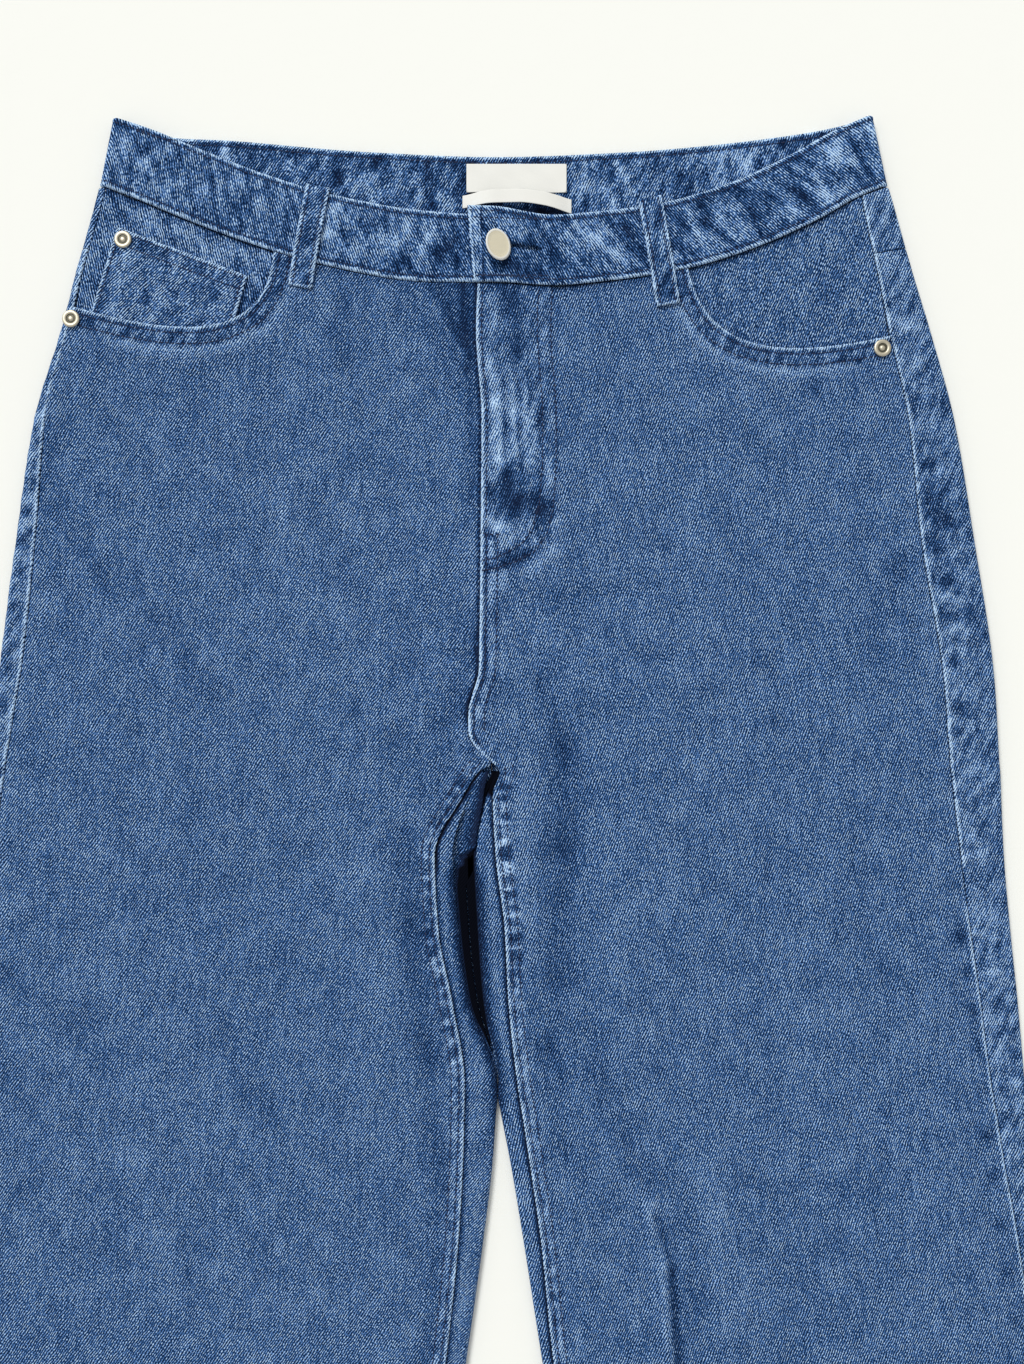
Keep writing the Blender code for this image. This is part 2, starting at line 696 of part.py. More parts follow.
def pocketFacing(name, leg, opening, seamTop):
    """The facing that shows in a front pocket, run on a little under the front."""
    o = leg.outward
    count = 12
    rows = 6
    left = opening[0][0] - o * 12.0
    right = leg.side(seamTop(leg.side(496.0))) - o * seamGap / 2
    outer = []
    inner = []
    for r in range(rows):
        v = r / (rows - 1)
        for c in range(count + 1):
            u = c / count
            x = lerp(left, right, u)
            above = (x, seamTop(x))
            (px, py), inward = openingFrame(leg, opening, u)
            below = (px + inward[0] * facingHidden, py + inward[1] * facingHidden)
            x = lerp(above[0], below[0], v)
            y = lerp(above[1], below[1], v)
            x += u ** 3 * (leg.side(y) - o * seamGap / 2 - x)
            z = facingLevel(leg, opening, x, y)
            outer.append((x, y, z + wall / 2))
            inner.append((x, y, z - wall / 2))
    return addWall(name, outer, inner, gridCells(rows, count + 1, flip=o > 0), denimLight)


def coinPocketPatch():
    """The small pocket on the right facing, its foot under the front's edge."""
    (ax, ay), (bx, by), (cx, cy), (dx, dy) = coinPocket
    outer = []
    inner = []
    rows = 6
    columns = 10
    for r in range(rows):
        v = r / (rows - 1)
        for c in range(columns):
            u = c / (columns - 1)
            x = lerp(lerp(ax, bx, u), lerp(dx, cx, u), v)
            y = lerp(lerp(ay, by, u), lerp(dy, cy, u), v)
            z = facingLevel(rightLeg, rightOpening, x, y) + wall / 2 + seamGap
            outer.append((x, y, z + wall))
            inner.append((x, y, z))
    return addWall("coin_pocket", outer, inner, gridCells(rows, columns, flip=True), denimLight)


def backPocket(name, middle):
    """A plain five-sided patch pocket, flat on the floor under its back panel."""
    topHalf = 76.0
    footHalf = 66.0
    topY = 424.0
    shoulderY = 292.0
    pointY = 268.0
    slant = 8.0 if middle < centreBack else -8.0
    outline = [(middle - topHalf, topY - slant), (middle + topHalf, topY + slant),
               (middle + footHalf, shoulderY), (middle, pointY), (middle - footHalf, shoulderY)]
    count = len(outline)
    points = [(x, y, 0.0) for x, y in outline] + [(x, y, padWall) for x, y in outline]
    faces = [tuple(range(count)), tuple(reversed(range(count, 2 * count)))]
    faces += [(k, k + count, (k + 1) % count + count, (k + 1) % count) for k in range(count)]
    return addObject(name, points, faces, denim)


# ------------------------------------------------------------- waistband
def bandRing():
    """Sections of the whole waistband, from the underlap round to the overlap."""
    shares = [0.0, 0.43, 0.57, 1.0]
    sections = []

    def add(section, angle, radius, side):
        """angle turns the section from lying on top (90) to lying on the floor (-90)."""
        sections.append((section, math.radians(angle), radius, side))

    for section in reversed(rightSections):
        add(section, 90.0, 0.0, -1)
    high, low = bandRight[0].z, bandBack[0].z
    middle = bandBack[0]._replace(z=(high + low) / 2)
    for k in range(1, curlCells):
        add(middle, 90.0 - 180.0 * k / curlCells, (high - low) / 2, -1)
    for section in backSections:
        add(section, -90.0, 0.0, -1)
    middle = bandBack[-1]._replace(z=(high + low) / 2)
    for k in range(1, curlCells):
        add(middle, -90.0 + 180.0 * k / curlCells, (high - low) / 2, 1)
    for section in leftSections:
        add(section, 90.0, 0.0, 1)

    outer = []
    inner = []
    for section, angle, radius, side in sections:
        footX, footY = bandFoot(section)
        lean = math.radians(section.lean)
        outX, outY = side * math.cos(lean), -side * math.sin(lean)
        nz = math.sin(angle)
        flat = math.cos(angle)
        for share in shares:
            x = lerp(footX, section.x, share) + outX * radius * flat
            y = lerp(footY, section.y, share) + outY * radius * flat
            z = section.z + radius * nz
            half = bandWall / 2
            outer.append((x + outX * flat * half, y + outY * flat * half, z + nz * half))
            inner.append((x - outX * flat * half, y - outY * flat * half, z - nz * half))
    return sections, shares, outer, inner


def waistband():
    """The waistband with its buttonhole."""
    sections, shares, outer, inner = bandRing()
    width = len(shares)
    lastTop = len(sections) - len(leftSections)
    hole = []
    for k in range(lastTop, len(sections) - 1):
        x = sections[k][0].x
        nextX = sections[k + 1][0].x
        if x < buttonholeEnd + 1.5 and nextX > buttonCentre[0] - 4.2:
            hole.append(k)
    cells = []
    for k, cell in enumerate(gridCells(len(sections), width)):
        row, column = divmod(k, width - 1)
        if not (row in hole and column == 1):
            cells.append(cell)
    return addWall("waistband", outer, inner, cells, denim)


# ------------------------------------------------------------- loops
def frontLoop(name, foot, head, rise):
    """A belt loop sewn below the waistband, bowed over it and hooked over its edge."""
    length = math.hypot(head[0] - foot[0], head[1] - foot[1])
    ux, uy = (head[0] - foot[0]) / length, (head[1] - foot[1]) / length
    low = hipTop + rise + wall / 2 + seamGap + bandLoopWall / 2
    high = bandRight[0].z + bandWall / 2 + seamGap + bandLoopWall / 2
    past = length + seamGap + bandLoopWall / 2
    run = [(0.0, low), (length * 0.13, low), (length * 0.24, high + 0.3), (length * 0.42, high + 0.9),
           (length * 0.62, high + 1.0), (length * 0.82, high + 0.5), (length - 1.0, high),
           (past - 0.3, high - 0.7), (past, high - 3.2)]
    flat = [(s, 0.0, z) for s, z in run]
    wallOut, wallIn = offsetProfile(flat, 1, bandLoopWall / 2, bandLoopWall / 2)
    shares = (-0.5, 0.5)

    def lay(line):
        return [(foot[0] + ux * s + uy * loopWidth * w, foot[1] + uy * s - ux * loopWidth * w, z)
                for s, _, z in line for w in shares]

    return addWall(name, lay(wallOut), lay(wallIn), gridCells(len(run), 2), denim)


def backLoop(name, middle):
    """A back belt loop, flat on the floor under the waistband."""
    foot = seamBack(middle) - 12.0
    head = foot + 12.0 + bandWidth
    xs = (middle - loopWidth / 2, middle + loopWidth / 2)
    points = [(x, y, z) for z in (0.0, padWall) for y in (foot, head) for x in xs]
    faces = [(0, 2, 3, 1), (4, 5, 7, 6), (0, 1, 5, 4), (1, 3, 7, 5), (3, 2, 6, 7), (2, 0, 4, 6)]
    return addObject(name, points, faces, denim)


# ------------------------------------------------------------- hardware
def turned(name, centre, rings, sides, tilt=None):
    """A turned piece from (radius, height) rings; tilt(height) leans its upper rings."""
    points = []
    faces = []
    for radius, height in rings[1:-1]:
        angle = tilt(height) if tilt else 0.0
        for k in range(sides):
            turn = 2 * math.pi * k / sides
            x = radius * math.cos(turn)
            y = radius * math.sin(turn)
            points.append((centre[0] + x * math.cos(angle), centre[1] + y,
                           centre[2] + height + x * math.sin(angle)))
    for k in range(len(rings) - 3):
        for s in range(sides):
            a = k * sides + s
            b = k * sides + (s + 1) % sides
            faces.append((a, b, b + sides, a + sides))
    points.append((centre[0], centre[1], centre[2] + rings[0][1]))
    points.append((centre[0], centre[1], centre[2] + rings[-1][1]))
    first, last = len(points) - 2, len(points) - 1
    top = (len(rings) - 3) * sides
    for s in range(sides):
        faces.append(((s + 1) % sides, s, first))
        faces.append((top + s, top + (s + 1) % sides, last))
    piece = addObject(name, points, faces, metalColour, 0.35, 1.0)
    piece.data.shade_smooth()
    piece.data.set_sharp_from_angle(angle=math.radians(35.0))
    return piece


def rivet(name, place):
    """A pressed rivet: flat rim, groove and small nub."""
    r = rivetRadius
    rings = [(0, 0), (r * 0.9, 0), (r, 0.4), (r * 0.96, 0.9), (r * 0.78, 1.2), (r * 0.62, 1.0),
             (r * 0.50, 0.55), (r * 0.30, 0.5), (r * 0.20, 1.1), (0, 1.3)]
    return turned(name, place, rings, 14)


def button():
    """The shank button, its head leaning on the overlap."""
    r = buttonRadius
    base = bandRight[-1].z + bandWall / 2 + seamGap
    under = bandLeft[-1].z + bandWall / 2 + seamGap - base
    lift = under + r * math.sin(buttonTilt)
    rings = [(0, 0), (1.7, 0), (1.7, 0.8), (1.6, under), (2.0, lift - 0.9), (3.2, lift - 0.2),
             (r * 0.93, lift), (r, lift + 0.6), (r * 0.97, lift + 1.5), (r * 0.86, lift + 1.9),
             (r * 0.72, lift + 1.5), (r * 0.45, lift + 1.35), (r * 0.2, lift + 1.45), (0, lift + 1.5)]
    return turned("button", (*buttonCentre, base), rings, 20,
                  lambda height: buttonTilt * ease((height - under) / (lift - 0.2 - under)))


# ------------------------------------------------------------- labels
def mainLabel():
    """A bare woven label on the inner face of the back waistband."""
    left, right, foot, head = labelBox
    low = bandBack[4].z + bandWall / 2 + seamGap
    columns = 6
    outer = []
    inner = []
    for y in (foot, head):
        for c in range(columns):
            x = lerp(left, right, c / (columns - 1))
            outer.append((x, y, low + labelWall))
            inner.append((x, y, low))
    return addWall("label", outer, inner, gridCells(2, columns), labelColour)


def loopLabel():
    """A bare folded ribbon below the label, bowed up off the waistband."""
    half = 30.0
    low = bandBack[4].z + bandWall / 2 + seamGap
    columns = 14
    outer = []
    inner = []
    for upper in (False, True):
        for c in range(columns):
            u = 2.0 * c / (columns - 1) - 1.0
            bow = 1.0 - u * u
            x = u * half
            y = 499.8 + 3.4 * bow if upper else 494.4 + 0.8 * bow
            z = low + labelWall / 2 + 3.6 * ease(bow * 1.15)
            outer.append((x, y, z + labelWall / 2))
            inner.append((x, y, z - labelWall / 2))
    return addWall("label_loop", outer, inner, gridCells(2, columns), labelColour)


# ------------------------------------------------------------- assembly
def build():
    for old in list(bpy.data.objects):
        bpy.data.objects.remove(old, do_unlink=True)
    backPanel("back_right", rightLeg, rightOpening)
    backPanel("back_left", leftLeg, leftOpening)
    yoke("yoke_right", rightLeg, seamRight)
    yoke("yoke_left", leftLeg, seamLeft)
    frontPanel("front_right", rightLeg, rightOpening, seamRight, flyLap)
    frontPanel("front_left", leftLeg, leftOpening, seamLeft, 0.0)
    pocketFacing("pocket_facing_right", rightLeg, rightOpening, seamRight)
    pocketFacing("pocket_facing_left", leftLeg, leftOpening, seamLeft)
    coinPocketPatch()
    waistband()
    for name, (foot, head, rise) in frontLoops.items():
        frontLoop(name, foot, head, rise)
    for name, middle in backLoops.items():
        backLoop(name, middle)
    for name, middle in backPocketCentres.items():
        backPocket(name, middle)
    for name, place in rivets.items():
        rivet(name, place)
    button()
    mainLabel()
    loopLabel()


build()
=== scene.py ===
import math
import random
from collections import namedtuple

import bpy
import numpy as np
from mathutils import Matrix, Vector, geometry
from mathutils.bvhtree import BVHTree

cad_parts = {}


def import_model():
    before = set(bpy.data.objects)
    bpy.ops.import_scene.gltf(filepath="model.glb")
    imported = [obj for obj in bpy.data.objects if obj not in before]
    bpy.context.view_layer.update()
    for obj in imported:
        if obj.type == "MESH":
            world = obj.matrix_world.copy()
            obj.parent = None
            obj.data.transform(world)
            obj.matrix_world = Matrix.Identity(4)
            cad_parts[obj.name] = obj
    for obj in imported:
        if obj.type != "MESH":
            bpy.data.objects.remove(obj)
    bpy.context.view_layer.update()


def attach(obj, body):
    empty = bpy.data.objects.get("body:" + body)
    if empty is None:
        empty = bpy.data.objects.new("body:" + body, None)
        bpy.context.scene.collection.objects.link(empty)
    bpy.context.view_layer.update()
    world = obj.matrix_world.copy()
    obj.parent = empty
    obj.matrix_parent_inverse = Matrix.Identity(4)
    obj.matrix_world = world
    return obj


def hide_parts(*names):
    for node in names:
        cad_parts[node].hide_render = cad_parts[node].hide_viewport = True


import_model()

# Lengths are in millimetres up to the point where a mesh is made.
scale = 0.001
body = "root"

# thicknesses, gaps and heights of the sewn layers
cloth = {
    "gap": 0.3, "wall": 1.2, "hemWall": 2.0, "hemDepth": 14.0, "pocketHem": 0.7, "pocketHemDepth": 9.5,
    "bandWall": 2.4, "loopWall": 1.5, "bandWidth": 38.5, "hipTop": 5.6, "legTop": 4.6, "padLift": 1.5,
    "padWall": 1.2, "flyRise": 0.9, "flyDip": 0.7, "flyWidth": 41.0, "flyLap": 8.0, "flyFoot": 236.0,
    "facingTop": 4.3, "valleyFloor": 2.1, "coinRise": 1.5, "labelWall": 0.5,
}
# levels of the cut
cut = {
    "crotch": 187.0, "hookTop": 183.0, "slitFoot": 11.0, "hemY": -528.0, "centreBack": -12.0,
    "yokeSide": 470.0, "yokeCentre": 418.0, "frameFoot": -165.0,
}

# One row per level across one leg: folds of the outline, seams on top, meeting line of the back panels.
Level = namedtuple("Level", "y outer side centre fold back")
rightLevels = [
    Level(504, -230.0, -225.5, -21.5, None, -12.0),
    Level(489, -234.0, -229.5, -21.5, None, -12.0),
    Level(459, -242.5, -238.0, -21.5, None, -12.0),
    Level(426, -251.0, -246.0, -22.5, None, -12.0),
    Level(376, -266.0, -259.0, -19.5, None, -12.0),
    Level(310, -276.0, -264.5, -20.0, None, -13.0),
    Level(240, -285.0, -272.0, -21.0, None, -14.0),
    Level(214, -288.0, -276.5, -27.0, None, -15.0),
    Level(204, -289.0, -278.0, -27.0, None, -15.5),
    Level(196, -290.0, -279.5, -23.0, None, -15.0),
    Level(187, -291.0, -281.0, -13.2, None, -14.0),
    Level(183, -291.5, -281.5, -20.5, -18.0, -14.0),
    Level(170, -293.5, -283.5, -29.0, -25.5, -20.5),
    Level(137, -297.5, -287.5, -45.0, -35.0, -28.5),
    Level(96, -301.0, -291.0, -43.0, -32.0, -26.5),
    Level(57, -303.5, -293.0, -35.5, -26.5, -22.0),
    Level(11, -306.0, -295.0, -28.5, -10.63, -10.6),
    Level(3, -306.2, -295.2, -28.6, -10.63, -10.6),
    Level(-4, -306.4, -295.3, -28.7, -11.3, -10.6),
    Level(-34, -307.0, -296.0, -29.5, -13.5, -10.6),
    Level(-76, -307.5, -296.5, -32.0, -18.5, -10.6),
    Level(-143, -308.0, -297.5, -39.0, -28.0, -10.6),
    Level(-328, -315.5, -306.0, -64.0, -54.5, -10.6),
    Level(-543, -324.5, -316.0, -93.5, -85.0, -10.6),
]
leftLevels = [
    Level(504, 204.5, 188.5, -21.5, None, -12.0),
    Level(489, 209.0, 191.0, -21.5, None, -12.0),
    Level(459, 217.5, 197.5, -21.5, None, -12.0),
    Level(426, 227.5, 204.0, -22.5, None, -12.0),
    Level(376, 241.0, 215.0, -19.5, None, -12.0),
    Level(310, 252.0, 222.0, -20.0, None, -13.0),
    Level(240, 262.5, 233.5, -21.0, None, -14.0),
    Level(214, 264.5, 236.0, -27.0, None, -15.0),
    Level(204, 265.0, 236.5, -27.0, None, -15.5),
    Level(196, 265.5, 237.5, -23.0, None, -15.0),
    Level(187, 266.0, 238.0, -13.2, None, -14.0),
    Level(183, 266.5, 238.5, -9.5, -11.8, -14.0),
    Level(170, 267.0, 240.0, -13.5, -16.5, -20.5),
    Level(137, 268.5, 244.0, -12.0, -22.5, -28.5),
    Level(96, 272.0, 249.5, -7.0, -20.5, -26.5),
    Level(57, 276.0, 255.0, -5.0, -18.0, -22.0),
    Level(11, 280.0, 261.0, 0.0, -10.57, -10.6),
    Level(3, 280.6, 262.4, 1.2, -10.57, -10.6),
    Level(-4, 281.2, 263.6, 2.4, -9.3, -10.6),
    Level(-34, 283.5, 268.5, 7.0, -3.5, -10.6),
    Level(-76, 288.0, 276.0, 13.0, 3.5, -10.6),
    Level(-143, 293.5, 284.5, 20.0, 14.0, -10.6),
    Level(-328, 307.5, 299.0, 54.0, 45.5, -10.6),
    Level(-543, 325.9, 317.0, 93.0, 84.0, -10.6),
]

# Waistband sections: upper edge, lean in degrees, width and height of the middle.
Band = namedtuple("Band", "x y lean width z")
bandRight = [
    Band(-218.5, 541.2, 11.0, 38.2, 6.3),
    Band(-200.0, 535.0, 18.0, 38.5, 6.3),
    Band(-172.2, 523.6, 22.0, 38.5, 6.3),
    Band(-138.6, 510.7, 17.5, 38.5, 6.3),
    Band(-102.3, 499.6, 13.0, 38.5, 6.3),
    Band(-57.8, 491.4, 6.0, 39.0, 6.0),
    Band(-29.2, 489.2, 1.2, 37.5, 5.4),
    Band(16.0, 487.6, 0.5, 36.4, 5.4),
]
bandBack = [
    Band(-218.5, 541.2, 11.0, 38.2, 1.2),
    Band(-189.0, 532.6, 8.0, 38.5, 1.7),
    Band(-155.0, 530.4, 4.0, 38.5, 2.7),
    Band(-83.0, 524.4, 3.0, 38.5, 2.7),
    Band(-12.0, 521.6, 0.0, 38.5, 2.7),
    Band(60.0, 524.2, -3.0, 38.5, 2.7),
    Band(131.0, 530.8, -5.0, 38.5, 2.7),
    Band(165.0, 536.2, -8.0, 38.5, 1.7),
    Band(192.0, 542.4, -12.0, 39.5, 1.2),
]
bandLeft = [
    Band(192.0, 542.4, -12.0, 39.5, 6.3),
    Band(173.0, 534.0, -18.0, 38.7, 6.3),
    Band(148.0, 520.2, -22.5, 38.5, 6.3),
    Band(114.3, 504.9, -18.0, 38.0, 6.3),
    Band(80.0, 495.0, -12.0, 38.0, 6.3),
    Band(45.7, 490.0, -6.0, 38.2, 7.0),
    Band(19.2, 487.6, -1.5, 38.4, 8.1),
    Band(-12.0, 492.4, 0.0, 41.2, 8.1),
    Band(-27.2, 492.8, -4.6, 41.8, 8.1),
]

# Large folds of the top layer: a line, its half width and its height.
Fold = namedtuple("Fold", "x0 y0 x1 y1 width height")
folds = [
    Fold(73.0, -52.0, 104.0, -260.0, 7.0, 1.2),
    Fold(83.0, -60.0, 116.0, -250.0, 7.0, -1.3),
    Fold(-70.0, 150.0, -200.0, 96.0, 14.0, -0.9),
    Fold(-62.0, 126.0, -170.0, 66.0, 13.0, 0.7),
    Fold(40.0, 150.0, 150.0, 112.0, 14.0, -0.9),
    Fold(45.0, 120.0, 130.0, 84.0, 13.0, 0.7),
    Fold(-226.0, 270.0, -150.0, 205.0, 15.0, -0.8),
    Fold(-236.0, 250.0, -170.0, 176.0, 13.0, 0.6),
    Fold(176.0, 262.0, 96.0, 205.0, 15.0, -0.8),
    Fold(-190.0, -300.0, -226.0, -420.0, 16.0, -1.0),
    Fold(-150.0, -330.0, -190.0, -460.0, 15.0, 0.8),
    Fold(190.0, -330.0, 176.0, -450.0, 16.0, -1.0),
    Fold(236.0, -300.0, 226.0, -430.0, 15.0, 0.8),
    Fold(-120.0, 352.0, -60.0, 270.0, 17.0, 0.7),
    Fold(60.0, 352.0, 120.0, 280.0, 17.0, 0.7),
]

# Creases and rubbed or unrubbed places: a line, half width, height, and how light (+) or dark (-) it is. The
# light and dark are partly rubbed or unrubbed indigo and partly painted light on ridges and painted shade in
# troughs.
Crease = namedtuple("Crease", "x0 y0 x1 y1 width height fade")


def creaseRows(*rows):
    return [Crease(*row) for row in rows]


creases = creaseRows(
    # trough beside the right inseam, painted with shade, and the thigh's swell next to it
    (-64, 150, -57, 96, 7.5, -1.0, -0.24), (-57, 96, -49, 30, 8.5, -1.3, -0.30),
    (-48, 30, -44, -30, 6.5, -0.8, -0.20), (-84, 150, -76, 10, 13, 1.2, 0.05),
    (-43, -30, -48, -140, 6.0, -0.4, -0.20),
    # trough beside the left inseam, painted with shade
    (14, 230, 26, 194, 7.5, -0.8, -0.26), (27, 194, 27, 140, 9.0, -1.2, -0.36),
    (27, 140, 22, 70, 9.0, -1.1, -0.32), (21, 66, 19, 30, 8.0, -1.0, -0.26),
    (18, 28, 27, -24, 7.0, -0.9, -0.22), (27, -25, 52, -62, 7.0, -0.5, -0.14),
    (38, 40, 66, -40, 8.0, -0.5, -0.20), (62, 150, 56, 20, 14, 0.9, 0.05),
    # sharp crease low on the left thigh: a painted highlight on its ridge and painted shade beside it
    (71.5, -55, 80.5, -88, 2.8, 0.9, 0.30), (80.5, -88, 84.5, -152, 3.0, 1.2, 0.26),
    (77.0, -62, 85.5, -92, 2.0, -0.9, -0.45), (85.5, -92, 89.6, -152, 2.4, -1.5, -0.85),
    (104, -40, 118, -120, 11, 0.7, 0.12), (96, -60, 104, -150, 7, -0.5, -0.14),
    # beside and below the fly: mostly painted shade, with one light line
    (-30, 464, -27, 404, 3.4, -0.5, -0.80), (-27, 404, -25, 330, 2.2, -0.3, -0.45),
    (-58, 446, -34, 392, 2.6, -0.25, -0.18), (-97, 442, -94, 408, 6.0, -0.3, -0.25),
    (-46, 450, -30, 420, 4.0, -0.3, -0.30), (12, 277, 66, 283, 7.0, -0.5, -0.14),
    (-39, 446, -35, 416, 8.0, -0.2, -0.36), (-46.8, 439.5, -26, 403.7, 1.3, 0.2, 0.40),
    (68, 247, 124, 244, 5.0, -0.3, -0.15), (139, 255, 145, 211, 5.0, -0.3, -0.14),
    (-42, 250, -27, 247, 4.0, -0.3, -0.25), (-42, 210, -30, 222, 5.5, -0.4, -0.40),
    (-62, 200, -40, 182, 7.0, -0.5, -0.12),
    # hips and thighs
    (-262, 332, -224, 283, 5.0, -0.5, -0.24), (-207, 277, -166, 217, 7.0, -0.5, -0.14),
    (-256, 318, -226, 270, 4.0, 0.3, 0.10), (205, 284, 213, 299, 6.0, -0.3, -0.28),
    (194, 277, 199, 244, 5.0, -0.3, -0.14), (-284, 74, -235, 30, 7.0, -0.4, -0.14),
    (-163, 30, -130, -3, 8.0, -0.4, -0.12), (122, -44, 200, -47, 6.0, -0.3, -0.12),
    (-250, 372, -262, 340, 6.0, -0.3, -0.18), (150, 60, 186, 20, 9.0, 0.4, 0.06),
    (-130, 330, -118, 236, 9.0, 0.3, 0.05), (96, 330, 104, 250, 9.0, 0.3, 0.05),
    (-206, 40, -196, -96, 12, 0.5, 0.05), (-150, 160, -140, 60, 12, -0.4, -0.06),
    (190, 150, 200, 40, 12, -0.4, -0.06), (-120, -80, -140, -160, 12, 0.5, 0.06),
    (230, -20, 238, -130, 11, 0.5, 0.05), (160, -90, 150, -160, 12, -0.5, -0.08),
    # out of sight below: soft folds down to the hem
    (-240, -210, -250, -330, 14, 0.9, 0.06), (-160, -190, -176, -300, 15, -0.8, -0.08),
    (-110, -230, -124, -360, 13, 0.8, 0.05), (-210, -420, -230, -505, 13, -0.8, -0.06),
    (-140, -430, -150, -510, 12, 0.7, 0.05), (140, -210, 150, -330, 14, 0.8, 0.06),
    (220, -190, 238, -300, 13, -0.8, -0.06), (120, -420, 132, -510, 12, 0.7, 0.05),
    (200, -440, 214, -512, 13, -0.7, -0.06), (280, -380, 292, -500, 10, 0.6, 0.05),
)
flyWear = creaseRows(
    (-15.4, 410, -12, 385, 2.3, 0.25, 0.55), (-12, 385, -10.2, 354, 2.9, 0.28, 0.80),
    (-10.2, 354, -12, 343, 2.6, 0.2, 0.55), (-3.3, 403, -2.2, 378, 2.2, 0.25, 0.55),
    (-2.2, 378, -1.2, 355, 2.2, 0.25, 0.60), (3.6, 399, 5.6, 352, 1.7, 0.2, 0.50),
    (8.3, 384, 9.4, 351, 1.9, 0.2, 0.50), (15.2, 362, 18.7, 343, 2.8, 0.1, 0.30),
    (-6.8, 402, -5.6, 350, 1.2, -0.2, -0.35), (1.0, 402, 2.2, 348, 1.1, -0.2, -0.40),
    (7.2, 392, 7.4, 350, 0.9, -0.15, -0.35), (12.0, 383, 13.2, 345, 1.5, -0.15, -0.35),
    (-4.0, 446, -1.0, 412, 5.5, -0.15, -0.45), (12.2, 380, 12.4, 374, 3.6, -0.2, -0.35),
    (-6, 343, -2, 330, 7.5, -0.2, -0.62), (6, 333, 14, 327, 6.0, -0.2, -0.42),
    (15, 328, 12, 312, 3.4, -0.15, -0.32), (-14.5, 320, -11, 317, 3.2, 0.2, 0.85),
    (-14.6, 308, -14.4, 300, 2.2, 0.2, 0.65), (-8.6, 318, -8.6, 303, 1.6, 0.2, 0.50),
    (-3.2, 316, -3.0, 303, 1.5, 0.2, 0.45), (3.0, 318, 3.4, 306, 1.5, 0.2, 0.45),
    (8.4, 319, 10.8, 306, 1.6, 0.2, 0.50), (13.0, 308, 22.0, 322, 2.2, 0.1, 0.45),
    (-5.0, 299, 4.0, 302, 4.6, -0.1, -0.42), (-8.0, 292, -8.6, 284, 3.0, 0.1, 0.50),
    (-13.6, 290, -14.4, 276, 2.4, 0.1, 0.45), (8.0, 294, 22.0, 306, 3.2, 0.1, 0.35),
    (-13, 262, -13.4, 238, 1.9, 0.15, 0.35), (-6.0, 268, -8.0, 236, 1.8, 0.1, 0.30),
    (-17.4, 230, -18.2, 212, 2.0, 0.15, 0.40), (-22.2, 217, -22.0, 214, 2.4, 0.15, 0.65),
    (-19.0, 256, -16.5, 240, 1.2, -0.1, -0.35), (-13.4, 440, -14.2, 418, 3.0, 0.1, 0.25),
    (-4.0, 430, -4.8, 412, 2.4, 0.1, 0.22), (-16.0, 340, -12.0, 332, 2.4, -0.1, -0.35),
)
# unrubbed places between the puckers of the side seams
seamSpots = creaseRows(
    (217.5, 384, 217.8, 378, 2.2, -0.1, -0.55), (216.8, 371, 217.0, 368, 1.8, -0.1, -0.45),
    (224.3, 352.5, 225.4, 350.0, 4.6, -0.3, -0.85), (228.0, 331, 235.5, 321, 6.5, -0.4, -0.80),
    (230.0, 304.5, 233.0, 303.5, 3.6, -0.3, -0.80), (234.0, 288, 236.5, 287, 3.4, -0.3, -0.75),
    (236.6, 270, 238.4, 269, 4.0, -0.3, -0.70), (239.4, 243, 241.4, 242.5, 3.2, -0.2, -0.45),
    (242.0, 217, 244.4, 216, 4.2, -0.2, -0.50), (238.6, 256, 240.2, 255, 2.2, -0.1, -0.30),
    (228.4, 316, 229.6, 313, 3.6, -0.2, -0.40), (247.0, 266, 252.0, 264, 4.2, -0.2, -0.28),
    (236.0, 159, 237.0, 158, 3.6, -0.3, -0.80), (241.5, 121, 242.5, 120, 4.2, -0.3, -0.75),
    (243.8, 93, 244.6, 92, 3.8, -0.3, -0.75), (247.0, 73.5, 247.6, 73, 3.2, -0.3, -0.65),
    (250.4, 52, 251.0, 51, 3.6, -0.3, -0.70), (254.6, 31, 255.2, 30, 3.6, -0.3, -0.70),
    (258.4, 8.5, 259.0, 8, 3.0, -0.2, -0.45), (257.6, -17, 258.4, -18, 3.8, -0.3, -0.65),
    (262.0, -39, 262.8, -40, 4.2, -0.3, -0.60), (265.4, -66, 266.2, -67, 3.4, -0.2, -0.55),
    (269.0, -92, 269.8, -93, 3.6, -0.2, -0.50), (273.6, -120, 274.0, -121, 3.6, -0.2, -0.50),
    (-266.0, 343, -266.6, 342, 3.0, -0.2, -0.50), (-268.4, 327, -269.0, 325, 3.4, -0.2, -0.55),
    (-269.0, 307, -269.4, 304, 3.0, -0.2, -0.55), (-272.8, 294, -273.2, 292, 2.8, -0.2, -0.45),
    (-275.4, 275, -276.0, 272, 3.2, -0.2, -0.50), (-277.4, 253, -278.0, 250, 3.0, -0.2, -0.50),
    (-279.0, 240, -279.4, 238, 2.6, -0.2, -0.45), (-281.8, 222, -282.4, 219, 3.0, -0.2, -0.45),
    (-284.0, 196, -284.6, 194, 3.0, -0.2, -0.45), (-284.6, 168, -285.0, 166, 3.2, -0.2, -0.50),
    (-287.4, 132, -288.0, 130, 3.0, -0.2, -0.40), (-290.0, 96, -290.6, 94, 3.0, -0.2, -0.40),
)

rightOpening = [(-133.5, 469.0), (-137.0, 430.0), (-160.5, 413.5), (-242.9, 437.5)]
leftOpening = [(94.0, 458.5), (101.5, 428.0), (120.0, 402.5), (204.6, 422.0)]


# small helpers
def lerp(a, b, t):
    return a + (b - a) * t


def ease(t):
    t = np.clip(t, 0.0, 1.0)
    return t * t * (3.0 - 2.0 * t)


def after(value, start, span):
    # 0 up to the start, 1 from a span past it
    return ease((value - start) / span)


def before(value, end, span):
    # 1 up to a span short of the end, 0 from the end on
    return ease((end - value) / span)


